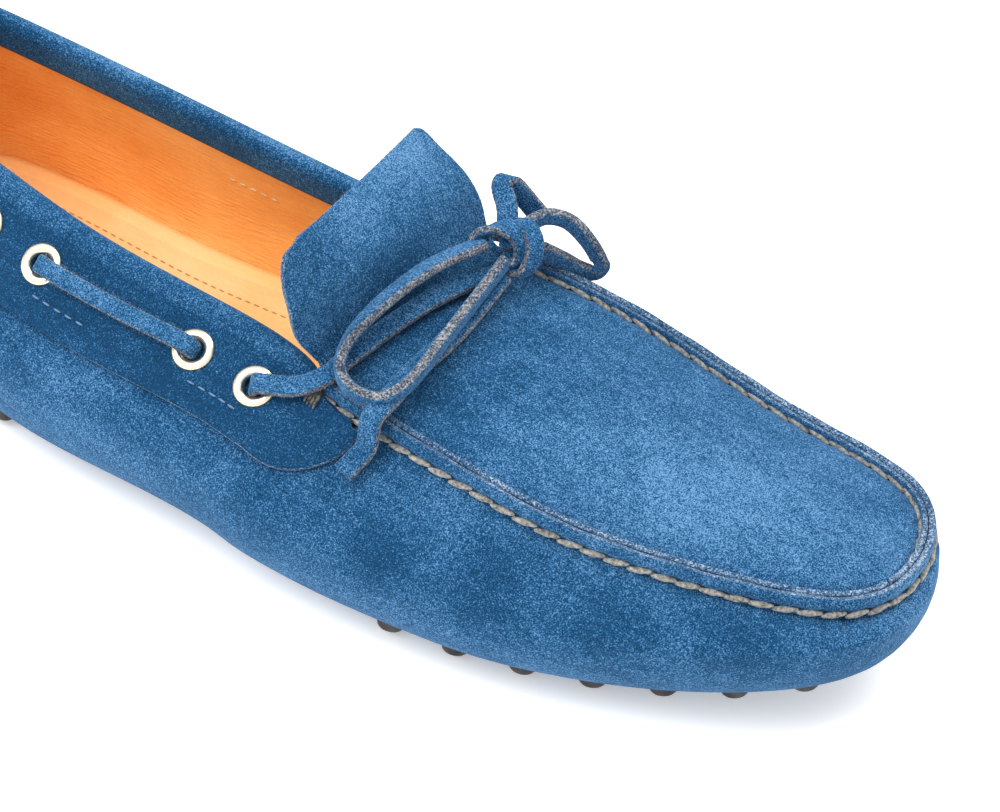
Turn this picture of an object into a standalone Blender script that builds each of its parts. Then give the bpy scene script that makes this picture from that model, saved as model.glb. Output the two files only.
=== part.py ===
"""Driving loafer for a right foot, in metres: X to the toe, Y to the inner side, Z up from the floor.

The shoe is built from its last. A table of eighteen sections round the outline gives the last's
shape, and every piece is a sheet that lies at its own depth inside or outside that surface.
"""

from math import cos, pi, radians, sin, sqrt

import bmesh
import bpy
import numpy as np
from mathutils import Matrix, Vector

MM = 0.001

# The last
LENGTH = 288 * MM
BALL_WIDTH = 100 * MM
HEEL_HEIGHT = 66 * MM
INSTEP_HEIGHT = 52 * MM
ARCH_RISE = 2.6 * MM
TOE_SPRING = 13.4 * MM
HEEL_SPRING = 1.5 * MM

# Sheets, and the gap that each keeps to its neighbour
GAP = 0.35 * MM
SEAM_GAP = 0.5 * MM
LINING_GAP = 0.9 * MM
UPPER_WALL = 1.6 * MM
APRON_THICKNESS = 1.3 * MM
BAND_THICKNESS = 1.4 * MM
PLATE_THICKNESS = 1.5 * MM
INSOLE_THICKNESS = 2.0 * MM

# The raised hand-sewn seam between upper and apron
RIDGE_HEIGHT = 4.5 * MM
RIDGE_INSIDE = 2.2 * MM
RIDGE_LEAN = 6
APRON_CROWN = 0.085

# The collar band
BAND_WIDTH = 23.5 * MM
BAND_LEG = 6.0 * MM
BAND_CORNER = 8.0 * MM
BAND_SLANT = 15.0 * MM
BAND_TAPER = 4.0 * MM
SLANT_RUN = 26.0 * MM

# Rubber studs
STUD_RADIUS = 3.5 * MM
STUD_HEIGHT = 3.2 * MM
STUD_PITCH = 16.5 * MM
INNER_PITCH = 20.0 * MM
STUD_SIDES = 8

# Eyelets and the suede lace
EYELET_RADIUS = 5.2 * MM
BORE_RADIUS = 2.6 * MM
BARREL_WALL = 0.5 * MM
FLANGE_RISE = 0.7 * MM
EYELET_DROP = 10.5 * MM
EYELET_SEAT = 0.45 * MM
FIRST_EYELET = 10.6 * MM
HIDDEN_RUN = 18.0 * MM
OPEN_RUN = 42.7 * MM
LACE_WIDTH = 4.2 * MM
LACE_THICKNESS = 1.9 * MM

# Sections of the last, from the back of the heel along the outer side to the toe, and back along
# the inner side. Along is a share of LENGTH. Across, foot (how far the flat of the bottom lies
# inside the outline) and rim_in (how far the rim does) are shares of BALL_WIDTH. Widest, the
# height of the widest line above the bottom, is a share of HEEL_HEIGHT. The rim's height is
# by_heel of HEEL_HEIGHT plus by_instep of INSTEP_HEIGHT, and lean is its slope inwards in degrees.
SECTIONS = {
    # along, across, foot, widest, rim_in, by_heel, by_instep, lean
    "heel back": (0.000, 0.014, 0.160, 0.300, 0.068, 1.00, 0.00, 5),
    "heel corner out": (0.030, -0.242, 0.165, 0.305, 0.068, 0.94, 0.04, 6),
    "heel side out": (0.117, -0.360, 0.170, 0.318, 0.160, 0.72, 0.27, 12),
    "quarter out": (0.282, -0.482, 0.172, 0.332, 0.239, 0.36, 0.598, 30),
    "waist out": (0.453, -0.523, 0.180, 0.335, 0.267, 0.10, 0.866, 34),
    "throat out": (0.523, -0.549, 0.192, 0.345, 0.248, 0.00, 0.919, 34),
    "joint out": (0.674, -0.520, 0.210, 0.290, 0.168, 0.00, 0.883, 40),
    "toes out": (0.795, -0.440, 0.236, 0.318, 0.142, 0.00, 0.764, 40),
    "toe corner out": (0.935, -0.250, 0.239, 0.345, 0.089, 0.00, 0.694, 38),
    "toe tip": (1.000, 0.014, 0.225, 0.320, 0.045, 0.00, 0.655, 35),
    "toe corner in": (0.967, 0.312, 0.220, 0.280, 0.020, 0.00, 0.708, 38),
    "toes in": (0.844, 0.428, 0.220, 0.273, 0.068, 0.00, 0.750, 40),
    "joint in": (0.701, 0.481, 0.220, 0.286, 0.124, 0.00, 0.902, 40),
    "throat in": (0.559, 0.402, 0.210, 0.306, 0.132, 0.00, 1.088, 30),
    "waist in": (0.420, 0.351, 0.200, 0.305, 0.078, 0.10, 0.964, 14),
    "quarter in": (0.268, 0.357, 0.180, 0.293, 0.068, 0.36, 0.637, 10),
    "heel side in": (0.110, 0.372, 0.170, 0.265, 0.092, 0.72, 0.22, 8),
    "heel corner in": (0.027, 0.272, 0.162, 0.270, 0.088, 0.94, 0.03, 6),
}
TABLE = np.array(list(SECTIONS.values()))
AROUND = len(SECTIONS)
THROAT = list(SECTIONS).index("throat out")
TOE = list(SECTIONS).index("toe tip")

# The bottom profile, as shares of LENGTH
ARCH_SPAN = (0.26, 0.60)
TOE_SPRING_FROM = 0.76
HEEL_SPRING_TO = 0.07

# The section's corner, between the bottom and the widest line, takes this share of its height
CORNER_SHARE = 0.45
CORNER_POWER = 2.3


def through(table, places):
    """A smooth closed curve through the table's rows, read at places counted in rows."""
    count = len(table)
    system = 4 * np.eye(count) + np.roll(np.eye(count), 1, 0) + np.roll(np.eye(count), -1, 0)
    slopes = np.linalg.solve(system, 3 * (np.roll(table, -1, 0) - np.roll(table, 1, 0)))
    places = np.asarray(places, float) % count
    row = np.floor(places).astype(int) % count
    after = (row + 1) % count
    t = (places - np.floor(places))[:, None]
    value = (2 * t**3 - 3 * t**2 + 1) * table[row] + (3 * t**2 - 2 * t**3) * table[after]
    return value + (t**3 - 2 * t**2 + t) * slopes[row] + (t**3 - t**2) * slopes[after]


def bottom_height(along):
    """Height of the upper's underside above the floor, at a share of LENGTH."""
    start, end = ARCH_SPAN
    arch = np.sin(pi * np.clip((along - start) / (end - start), 0, 1)) ** 2
    spring = np.clip((along - TOE_SPRING_FROM) / (1 - TOE_SPRING_FROM), 0, 1) ** 2
    heel = np.clip((HEEL_SPRING_TO - along) / HEEL_SPRING_TO, 0, 1) ** 2
    return STUD_HEIGHT + ARCH_RISE * arch + TOE_SPRING * spring + HEEL_SPRING * heel


def outline(places):
    """Plan points of the widest line and the directions that point inwards from it."""
    scale = (LENGTH, BALL_WIDTH)
    points = through(TABLE, places)[:, :2] * scale
    step = 0.02
    ahead = through(TABLE, np.asarray(places) + step)[:, :2] * scale
    behind = through(TABLE, np.asarray(places) - step)[:, :2] * scale
    run = (ahead - behind) / np.linalg.norm(ahead - behind, axis=1)[:, None]
    return points, np.stack([-run[:, 1], run[:, 0]], 1)


DENSE = outline(np.linspace(0, AROUND, 720))[0]
CENTRE = (DENSE.max(0) + DENSE.min(0)) / 2


def bare_skin(places, shares):
    """Points on the last: places round it, and shares from 0 at the flat bottom to 1 at the rim."""
    rows = through(TABLE, places)
    points, inwards = outline(places)
    foot = (rows[:, 2] * BALL_WIDTH)[:, None]
    widest = (rows[:, 3] * HEEL_HEIGHT)[:, None]
    rim_in = (rows[:, 4] * BALL_WIDTH)[:, None]
    rim = (rows[:, 5] * HEEL_HEIGHT + rows[:, 6] * INSTEP_HEIGHT)[:, None]
    lean = np.radians(rows[:, 7])[:, None]
    flat = points + inwards * foot
    bottom = bottom_height(np.clip(flat[:, 0] / LENGTH, 0, 1))[:, None]

    turn = np.clip(shares / CORNER_SHARE, 0, 1) * pi / 2
    corner_in = foot * (1 - np.sin(turn) ** (2 / CORNER_POWER))
    corner_up = bottom + widest * (1 - np.cos(turn) ** (2 / CORNER_POWER))

    t = np.clip((shares - CORNER_SHARE) / (1 - CORNER_SHARE), 0, 1)
    rise = rim - bottom - widest
    pull = 1.1 * np.hypot(rim_in, rise)
    start, end, blend = t**3 - 2 * t**2 + t, t**3 - t**2, 3 * t**2 - 2 * t**3
    wall_in = blend * rim_in + end * pull * np.sin(lean)
    wall_up = bottom + widest + blend * rise + start * pull + end * pull * np.cos(lean)

    wall = shares > CORNER_SHARE
    inset = np.where(wall, wall_in, corner_in)
    height = np.where(wall, wall_up, corner_up)
    plan = points[:, None] + inwards[:, None] * inset[:, :, None] - CENTRE
    return np.concatenate([plan, height[:, :, None]], 2)


def skin_frame(places, shares):
    """Points on the last with their outward normals and their directions up the skin."""
    places = np.asarray(places, float)
    shares = np.broadcast_to(np.asarray(shares, float), (len(places), np.shape(shares)[-1]))
    step = 0.01
    points = bare_skin(places, shares)
    around = bare_skin(places + step, shares) - bare_skin(places - step, shares)
    up = bare_skin(places, np.minimum(shares + step, 1)) - bare_skin(places, np.maximum(shares - step, 0))
    normal = np.cross(around, up)
    normal /= np.linalg.norm(normal, axis=2)[:, :, None]
    return points, normal, up / np.linalg.norm(up, axis=2)[:, :, None]


def skin(place, shares, out=0.0):
    """One column of points up the last, moved out along its normals."""
    points, normal, _ = skin_frame([place], shares)
    return (points + out * normal)[0]


def below_rim(place, distances):
    """Shares at which the skin lies these distances below the rim, measured along it."""
    shares = np.linspace(1, 0, 160)
    points = bare_skin(np.array([place]), shares[None])[0]
    run = np.append(0, np.cumsum(np.linalg.norm(np.diff(points, axis=0), axis=1)))
    return np.interp(distances, run, shares)


def along_rim(start, distance):
    """The place that lies this far along the rim from start. A negative distance goes back."""
    places = start + np.linspace(0, 4, 400) * np.sign(distance)
    points = bare_skin(places, np.ones((len(places), 1)))[:, 0]
    run = np.append(0, np.cumsum(np.linalg.norm(np.diff(points, axis=0), axis=1)))
    return float(np.interp(abs(distance), run, places))


# Stations from heel to toe. Each one cuts both sides: the inner side's place mirrors the outer's.
HEEL_SIDE = list(SECTIONS).index("heel side out")
STATIONS = np.concatenate(
    [
        np.arange(0, HEEL_SIDE, 1 / 3),
        np.arange(HEEL_SIDE, THROAT - 1, 1 / 2),
        np.arange(THROAT - 1, TOE + 0.1, 1 / 4),
    ]
)
THROAT_STATION = int(np.argmin(abs(STATIONS - THROAT)))
TOE_STATION = len(STATIONS) - 1


def other_side(place):
    return AROUND - place


# Scene and collections
for old in list(bpy.data.objects):
    bpy.data.objects.remove(old)
SHOE = bpy.data.collections.new("driving_loafer")
CUTTERS = bpy.data.collections.new("cutters")
bpy.context.scene.collection.children.link(SHOE)
bpy.context.scene.collection.children.link(CUTTERS)


def material(name, colour, roughness, metallic=0.0):
    made = bpy.data.materials.new(name)
    made.use_nodes = True
    shader = made.node_tree.nodes["Principled BSDF"]
    shader.inputs["Base Color"].default_value = (*colour, 1)
    shader.inputs["Roughness"].default_value = roughness
    shader.inputs["Metallic"].default_value = metallic
    made.diffuse_color = (*colour, 1)
    return made


SUEDE = material("blue suede", (0.030, 0.115, 0.300), 0.95)
BAND_SUEDE = material("collar suede", (0.026, 0.100, 0.270), 0.95)
LACE_SUEDE = material("lace suede", (0.045, 0.125, 0.270), 0.9)
LEATHER = material("insole leather", (0.76, 0.45, 0.17), 0.55)
RUBBER = material("dark rubber", (0.030, 0.024, 0.022), 0.8)
METAL = material("pale gold", (0.86, 0.76, 0.58), 0.3, 1.0)


def add_object(name, mesh, surface, collection=SHOE):
    mesh.materials.append(surface)
    mesh.shade_smooth()
    made = bpy.data.objects.new(name, mesh)
    collection.objects.link(made)
    return made


def hide_cutter(made):
    made.hide_render = True
    made.display_type = "WIRE"
    return made


def finish_mesh(name, build, flip_check=False):
    bmesh.ops.remove_doubles(build, verts=build.verts, dist=0.01 * MM)
    if flip_check:
        bmesh.ops.recalc_face_normals(build, faces=build.faces)
    mesh = bpy.data.meshes.new(name)
    build.to_mesh(mesh)
    build.free()
    return mesh


def thicken(made, thickness, outwards=False):
    wall = made.modifiers.new("wall", "SOLIDIFY")
    wall.thickness = thickness
    wall.offset = 1 if outwards else -1
    wall.use_even_offset = True
    wall.use_quality_normals = True


def cut(made, cutter):
    boolean = made.modifiers.new(cutter.name, "BOOLEAN")
    boolean.operation = "DIFFERENCE"
    boolean.object = cutter


def join(made, other):
    boolean = made.modifiers.new(other.name, "BOOLEAN")
    boolean.operation = "UNION"
    boolean.object = other


def net(build, columns, closed=False):
    """Faces between neighbouring columns of points. Columns run up, and follow round the last."""
    verts = [[build.verts.new(point) for point in column] for column in columns]
    pairs = list(zip(verts, verts[1:]))
    if closed:
        pairs.append((verts[-1], verts[0]))
    for near, far in pairs:
        for j in range(min(len(near), len(far)) - 1):
            build.faces.new((near[j], far[j], far[j + 1], near[j + 1]))
    return verts


def cradle(name, first, last, column, surface):
    """A sheet round the foot from station first to last: both sides, and the bottom between."""
    build = bmesh.new()
    out = [column(STATIONS[k]) for k in range(first, last + 1)]
    inner = [column(other_side(STATIONS[k])) for k in range(last, first - 1, -1)]
    sides = net(build, out), net(build, inner)
    outer_feet = [side[0] for side in sides[0]]
    inner_feet = [side[0] for side in sides[1]][::-1]
    for k in range(last - first):
        build.faces.new((outer_feet[k], inner_feet[k], inner_feet[k + 1]))
        build.faces.new((outer_feet[k], inner_feet[k + 1], outer_feet[k + 1]))
    return add_object(name, finish_mesh(name, build), surface)


# Upper: one wraparound piece of suede with its lining, which also closes the bottom. Along the
# toe its edge stands up as the outer half of the raised seam.
CORNER_ROWS = np.linspace(0, CORNER_SHARE, 6)
WALL_ROWS = np.linspace(CORNER_SHARE, 1, 5)[1:]
UPPER_ROWS = np.append(CORNER_ROWS, WALL_ROWS)


def ridge_top(place, inset, drop=0.0):
    """A point at the top of the raised seam, or drop below it, this far inside its outer face."""
    rim = skin(place, [1.0])[0]
    inwards = np.append(outline([place])[1][0], 0)
    lean = radians(RIDGE_LEAN)
    rise = RIDGE_HEIGHT - drop
    return rim + inwards * (inset + rise * sin(lean)) + np.array([0, 0, rise * cos(lean)])


def upper_column(place):
    column = skin(place, UPPER_ROWS)
    if THROAT <= place <= other_side(THROAT):
        column = np.vstack([column, ridge_top(place, 0)])
    return column


upper = cradle("upper", 0, TOE_STATION, upper_column, SUEDE)
thicken(upper, UPPER_WALL)

# Insole: a leather sock that lies in the bottom, on the sole plates, with its edge turned up
PLATE_DEPTH = UPPER_WALL + GAP
INSOLE_DEPTH = PLATE_DEPTH + PLATE_THICKNESS + GAP
INSOLE_ROWS = CORNER_ROWS[:4]
insole = cradle(
    "insole", 0, TOE_STATION, lambda place: skin(place, INSOLE_ROWS, -INSOLE_DEPTH), LEATHER
)
thicken(insole, INSOLE_THICKNESS)

# Soles: two rubber plates inside the upper's bottom, one under the forefoot and one under the
# heel, whose studs stand out through holes in the upper
PLATE_ROWS = CORNER_ROWS[:4]
OUTER_STUDS_AT = 0.11
PLATES = {"sole_heel": (0, 8), "sole_forefoot": (THROAT_STATION + 2, TOE_STATION)}


def bottom_edges(along):
    """Across values of the flat bottom's two edges at a place along the shoe."""
    edges = []
    for places in (STATIONS, other_side(STATIONS)):
        feet = bare_skin(places, np.zeros((len(places), 1)))[:, 0]
        edges.append(np.interp(along, feet[:, 0], feet[:, 1]))
    return edges


def outer_studs(first, last):
    """Studs on the turn of the bottom, an even pitch apart from one end of the plate to the other."""
    reach = 0.25
    if first == 0:
        places = np.linspace(-STATIONS[last] + reach, STATIONS[last] - reach, 200)
    else:
        places = np.linspace(STATIONS[first] + reach, other_side(STATIONS[first]) - reach, 200)
    points = bare_skin(places, np.full((len(places), 1), OUTER_STUDS_AT))[:, 0]
    run = np.append(0, np.cumsum(np.linalg.norm(np.diff(points, axis=0), axis=1)))
    count = int(round(run[-1] / STUD_PITCH)) + 1
    found = []
    for place in np.interp(np.linspace(0, run[-1], count), run, places):
        point, normal, _ = skin_frame([place], [OUTER_STUDS_AT])
        found.append((point[0, 0], normal[0, 0]))
    return found


def inner_studs(first, last, others):
    """Studs on the flat of the bottom, in rows across it, clear of the others."""
    ends = [[skin(p, [0.0])[0][0] for p in (STATIONS[k], other_side(STATIONS[k]))] for k in (first, last)]
    margin = 1.35 * STUD_RADIUS
    low, high = max(ends[0]) + margin, min(ends[1]) - margin
    if first == 0:
        high -= STUD_RADIUS
    count = int(round((high - low) / INNER_PITCH)) + 1
    found = []
    for along in np.linspace(low, high, count):
        outer, inner = bottom_edges(along)
        width = inner - outer - INNER_PITCH
        across = int(round(width / INNER_PITCH)) + 1
        if across < 1:
            continue
        middle = (outer + inner) / 2
        spread = np.linspace(-width / 2, width / 2, across) if across > 1 else np.zeros(1)
        share = (along + CENTRE[0]) / LENGTH
        slope = (bottom_height(share + 0.001) - bottom_height(share - 0.001)) / (0.002 * LENGTH)
        normal = np.array([slope, 0, -1]) / sqrt(1 + slope**2)
        for offset in spread:
            point = np.array([along, middle + offset, bottom_height(share)])
            if min(np.linalg.norm(point - other) for other, _ in others) > 0.68 * STUD_PITCH:
                found.append((point, normal))
    return found


def round_bar(build, point, normal, radius, inside, outside, sides):
    """A bar along the normal, from inside the skin to outside it."""
    turn = Vector(normal).to_track_quat("Z", "Y").to_matrix().to_4x4()
    centre = Vector(point) + Vector(normal) * (outside - inside) / 2
    bmesh.ops.create_cone(
        build,
        cap_ends=True,
        segments=sides,
        radius1=radius,
        radius2=radius,
        depth=inside + outside,
        matrix=Matrix.Translation(centre) @ turn,
    )


stud_holes = bmesh.new()
for name, (first, last) in PLATES.items():
    plate = cradle(name, first, last, lambda place: skin(place, PLATE_ROWS, -PLATE_DEPTH), RUBBER)
    thicken(plate, PLATE_THICKNESS)
    studs = bmesh.new()
    edge = outer_studs(first, last)
    for point, normal in edge + inner_studs(first, last, edge):
        root = PLATE_DEPTH + PLATE_THICKNESS / 2
        round_bar(studs, point, normal, STUD_RADIUS, root, STUD_HEIGHT, STUD_SIDES)
        round_bar(stud_holes, point, normal, STUD_RADIUS + GAP, 2 * UPPER_WALL, STUD_HEIGHT, STUD_SIDES)
    bars = add_object(name + "_studs", finish_mesh(name + "_studs", studs), RUBBER, CUTTERS)
    join(plate, hide_cutter(bars))
holes = add_object("stud_holes", finish_mesh("stud_holes", stud_holes), SUEDE, CUTTERS)
cut(upper, hide_cutter(holes))

# Collar band: suede folded over the rim, a wide leg outside and a short one inside, from one end
# of the throat round the heel to the other
BAND_END_GAP = 3.0 * MM
BAND_END = along_rim(THROAT, -BAND_END_GAP)
CORNER_STEPS = (0.0, 0.06, 0.25, 0.55, 1.0)
BAND_LEG_STEPS = np.array([1, 0.68, 0.34, 0.0])
ROLL_TURNS = (45, 90, 135)


def band_width(place):
    """The outer leg's width, rounded off at the two front ends."""
    side = min(place, -place) if place > 0 else -abs(place)
    end = bare_skin(np.array([BAND_END, -side]), np.ones((2, 1)))[:, 0]
    from_end = min(np.linalg.norm(end[0] - end[1]), BAND_CORNER)
    return BAND_WIDTH - BAND_CORNER + sqrt(BAND_CORNER**2 - (BAND_CORNER - from_end) ** 2)


def on_facets(place, distance, out):
    """A point over the upper's own facets, this far below the rim and this far out."""
    share = below_rim(place, distance)
    points, normals, _ = skin_frame([place], UPPER_ROWS)
    middle = [np.interp(share, UPPER_ROWS, points[0, :, axis]) for axis in range(3)]
    normal = [np.interp(share, UPPER_ROWS, normals[0, :, axis]) for axis in range(3)]
    return np.array(middle) + out * np.array(normal)


def near_front(place):
    """A share from 1 at the band's front ends to 0 further back."""
    front = BAND_END if place > 0 else -BAND_END
    reach = bare_skin(np.array([front, place]), np.ones((2, 1)))[:, 0]
    return max(0, 1 - np.linalg.norm(reach[0] - reach[1]) / SLANT_RUN)


def slanted(place, down):
    """The place of a point of the outer leg: under the seam the front ends run further forward."""
    forward = BAND_SLANT * near_front(place) * sqrt(down)
    return along_rim(place, forward if place > 0 else -forward) if forward else place


def band_column(place):
    width = band_width(place) - BAND_TAPER * near_front(place)
    outside = [on_facets(slanted(place, down), width * down, SEAM_GAP) for down in BAND_LEG_STEPS]
    point, normal, up = (part[0, 0] for part in skin_frame([place], [1.0]))
    middle = point - normal * UPPER_WALL / 2
    radius = UPPER_WALL / 2 + SEAM_GAP
    roll = [middle + radius * (cos(radians(a)) * normal + sin(radians(a)) * up) for a in ROLL_TURNS]
    inside = [on_facets(place, BAND_LEG * step, -UPPER_WALL - LINING_GAP) for step in (0, 0.5, 1)]
    return np.vstack([outside, roll, inside])


half = [along_rim(BAND_END, -step * BAND_CORNER) if step else BAND_END for step in CORNER_STEPS]
half += [place for place in STATIONS[::-1] if place < half[-1] - 0.1]
band_places = [-place for place in half[:-1]] + half[::-1]
build = bmesh.new()
net(build, [band_column(place) for place in band_places])
collar_band = add_object("collar_band", finish_mesh("collar_band", build), BAND_SUEDE)
thicken(collar_band, BAND_THICKNESS, outwards=True)


# Eyelets: rolled metal, five a side. The lace runs between them in turn outside the band and
# hidden behind it.
EYELET_RUNS = (FIRST_EYELET, HIDDEN_RUN, OPEN_RUN, HIDDEN_RUN, OPEN_RUN)
EYELET_SIDES = 8


def eyelet_frame(place, lift=0.0):
    """Centre on the band's outer face, outward normal and direction up the band."""
    out = SEAM_GAP + BAND_THICKNESS
    up = on_facets(place, EYELET_DROP - EYELET_RADIUS, out) - on_facets(place, EYELET_DROP + EYELET_RADIUS, out)
    fore, aft = along_rim(place, EYELET_RADIUS), along_rim(place, -EYELET_RADIUS)
    along = on_facets(fore, EYELET_DROP, out) - on_facets(aft, EYELET_DROP, out)
    up /= np.linalg.norm(up)
    normal = np.cross(along, up)
    normal /= np.linalg.norm(normal)
    point = on_facets(place, EYELET_DROP, out)
    return point + normal * (EYELET_SEAT + lift), normal, np.cross(normal, np.cross(up, normal))


def eyelet_places():
    """Places of the outer side's eyelets, and then of the inner side's, each from the front."""
    inner_end = other_side(THROAT) + THROAT - BAND_END
    runs = np.cumsum(EYELET_RUNS)
    return [[along_rim(BAND_END, -run) for run in runs], [along_rim(inner_end, run) for run in runs]]


PLACES = eyelet_places()
BARREL_RADIUS = BORE_RADIUS + BARREL_WALL
EYELET_PROFILE = (
    (EYELET_RADIUS - FLANGE_RISE, GAP + FLANGE_RISE),
    (BORE_RADIUS, GAP + FLANGE_RISE),
    (BORE_RADIUS, -BAND_THICKNESS),
    (BARREL_RADIUS, -BAND_THICKNESS),
    (BARREL_RADIUS, GAP),
    (EYELET_RADIUS, GAP),
)
build = bmesh.new()
ring = [build.verts.new((radius, 0, height)) for radius, height in EYELET_PROFILE]
for first, second in zip(ring, ring[1:] + ring[:1]):
    build.edges.new((second, first))
eyelet_mesh = bpy.data.meshes.new("eyelet")
build.to_mesh(eyelet_mesh)
build.free()
eyelet_mesh.materials.append(METAL)

eyelet_holes = bmesh.new()
number = 0
for side in PLACES:
    for place in side:
        number += 1
        point, normal, up = eyelet_frame(place)
        eyelet = bpy.data.objects.new(f"eyelet_{number}", eyelet_mesh)
        SHOE.objects.link(eyelet)
        axes = Matrix((np.cross(up, normal), up, normal)).transposed()
        eyelet.matrix_world = Matrix.Translation(point) @ axes.to_4x4()
        turned = eyelet.modifiers.new("turned", "SCREW")
        turned.steps = turned.render_steps = EYELET_SIDES
        turned.merge_threshold = 0.01 * MM
        round_bar(
            eyelet_holes, point, normal, BARREL_RADIUS + GAP, BAND_THICKNESS + GAP, 2 * MM, EYELET_SIDES
        )
holes = add_object("eyelet_holes", finish_mesh("eyelet_holes", eyelet_holes), BAND_SUEDE, CUTTERS)
cut(collar_band, hide_cutter(holes))

# Apron and tongue: one piece of suede. Over the toes its edge turns up inside the upper's, and
# behind the throat it runs free as the tongue.
APRON_EDGE = UPPER_WALL + SEAM_GAP + APRON_THICKNESS
ACROSS = np.linspace(0, 1, 9)
# Rows of the tongue from the throat to its tip. Back and rise are shares of TONGUE_BACK and
# TONGUE_RISE, middle and half_width of BALL_WIDTH, arch of TONGUE_ARCH, tilt is in degrees.
TONGUE_BACK = 19 * MM
TONGUE_RISE = 23 * MM
TONGUE_ARCH = 10 * MM
TONGUE_ROWS = (
    # back, rise, middle, half_width, arch, tilt
    (0.05, 0.13, 0.020, 0.208, 0.40, 38),
    (0.21, 0.35, 0.020, 0.285, 0.35, 48),
    (0.39, 0.62, 0.020, 0.300, 0.35, 50),
    (0.67, 0.84, 0.025, 0.295, 0.30, 52),
    (0.90, 0.97, 0.035, 0.270, 0.15, 55),
    (1.00, 1.00, 0.045, 0.205, 0.05, 55),
)


def apron_point(place, share):
    """A point of the apron's upper face, from 0 at its outer edge to 1 at its inner edge."""
    outer = ridge_top(place, APRON_EDGE, RIDGE_INSIDE)
    inner = ridge_top(other_side(place), APRON_EDGE, RIDGE_INSIDE)
    point = outer + (inner - outer) * share
    crown = APRON_CROWN * np.linalg.norm(inner - outer)
    return point + np.array([0, 0, crown * (1 - (2 * share - 1) ** 2)])


def apron_row(place):
    outer_top = ridge_top(place, APRON_EDGE)
    inner_top = ridge_top(other_side(place), APRON_EDGE)
    return [outer_top] + [apron_point(place, share) for share in ACROSS] + [inner_top]


def tongue_row(back, rise, middle, half_width, arch, tilt):
    throat = apron_point(THROAT, 0.5)
    skew = (apron_point(THROAT, 1) - apron_point(THROAT, 0)) / 2 * (1 - rise**2)
    centre = throat + np.array([-back * TONGUE_BACK, 0, rise * TONGUE_RISE])
    centre[1] = middle * BALL_WIDTH
    inwards = np.array([-sin(radians(tilt)), 0, -cos(radians(tilt))])
    row = []
    for share in np.concatenate([[0], 0.06 + 0.88 * ACROSS, [1]]):
        side = 2 * share - 1
        point = centre + inwards * arch * TONGUE_ARCH * side**2
        row.append(point + side * np.array([skew[0], half_width * BALL_WIDTH, skew[2]]))
    return row


rows = [tongue_row(*row) for row in TONGUE_ROWS[::-1]]
rows += [apron_row(place) for place in STATIONS[THROAT_STATION:]]
build = bmesh.new()
net(build, rows)
apron = add_object("apron_and_tongue", finish_mesh("apron_and_tongue", build), SUEDE)
thicken(apron, APRON_THICKNESS)


UP = np.array([0, 0, 1])

# Lace: flat suede. Its open runs between eyelets are bars, and one length crosses from front
# eyelet to front eyelet under the knot.
BORE_ENTRY = 0.7 * MM
LACE_BEND = 1.75 * MM
OVER_FLANGE = BORE_ENTRY + LACE_BEND
ON_BAND = GAP + LACE_THICKNESS / 2


def ribbon(name, points, normals, collection=SHOE):
    """A flat lace along the points, its width across each normal."""
    points, normals = np.array(points), np.array(normals)
    build = bmesh.new()
    rings = []
    for i, point in enumerate(points):
        run = points[min(i + 1, len(points) - 1)] - points[max(i - 1, 0)]
        run /= np.linalg.norm(run)
        side = np.cross(normals[i], run)
        side /= np.linalg.norm(side)
        face = np.cross(run, side)
        corners = ((-1, -1), (1, -1), (1, 1), (-1, 1))
        half = np.array([LACE_WIDTH, LACE_THICKNESS]) / 2
        rings.append([build.verts.new(point + side * a * half[0] + face * b * half[1]) for a, b in corners])
    for near, far in zip(rings, rings[1:]):
        for a, b, c, d in zip(near, near[1:] + near[:1], far[1:] + far[:1], far):
            build.faces.new((a, b, c, d))
    build.faces.new(rings[0][::-1])
    build.faces.new(rings[-1])
    return add_object(name, finish_mesh(name, build, True), LACE_SUEDE, collection)


def out_of_bore(place, towards):
    """Points and normals from inside an eyelet's bore, bending over towards a direction."""
    centre, normal, _ = eyelet_frame(place)
    run = towards - normal * np.dot(towards, normal)
    run /= np.linalg.norm(run)
    points = [centre - normal * BAND_THICKNESS * 0.8, centre + normal * BORE_ENTRY]
    normals = [-run, -run]
    for turn in (50, 90):
        a = radians(turn)
        points.append(centre + normal * (BORE_ENTRY + LACE_BEND * sin(a)) + run * LACE_BEND * (1 - cos(a)))
        normals.append(normal * sin(a) - run * cos(a))
    return points, normals


number = 0
for side in PLACES:
    for start, end in (side[1:3], side[3:5]):
        number += 1
        from_start = out_of_bore(start, eyelet_frame(end)[0] - eyelet_frame(start)[0])
        from_end = out_of_bore(end, eyelet_frame(start)[0] - eyelet_frame(end)[0])
        middle = [
            eyelet_frame(start + (end - start) * share, lift)
            for share, lift in ((0.16, OVER_FLANGE + GAP), (0.5, ON_BAND + GAP), (0.84, OVER_FLANGE + 2 * GAP))
        ]
        points = from_start[0] + [frame[0] for frame in middle] + from_end[0][::-1]
        normals = from_start[1] + [frame[1] for frame in middle] + from_end[1][::-1]
        ribbon(f"lace_bar_{number}", points, normals)

# The crossing goes up each band end and over the start of the raised seam to the middle
CROSSING_PLACE = THROAT + 0.10
ON_SIDE = SEAM_GAP + GAP + BAND_THICKNESS + LACE_THICKNESS / 2
CROSSING_STEPS = (
    # place in front of the throat, share across the apron, lift in mm
    (0.09, 0.14, 3.6),
    (0.10, 0.34, 2.9),
    (0.12, 0.54, 2.7),
    (0.15, 0.72, 2.7),
    (0.15, 0.90, 3.2),
)


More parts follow.
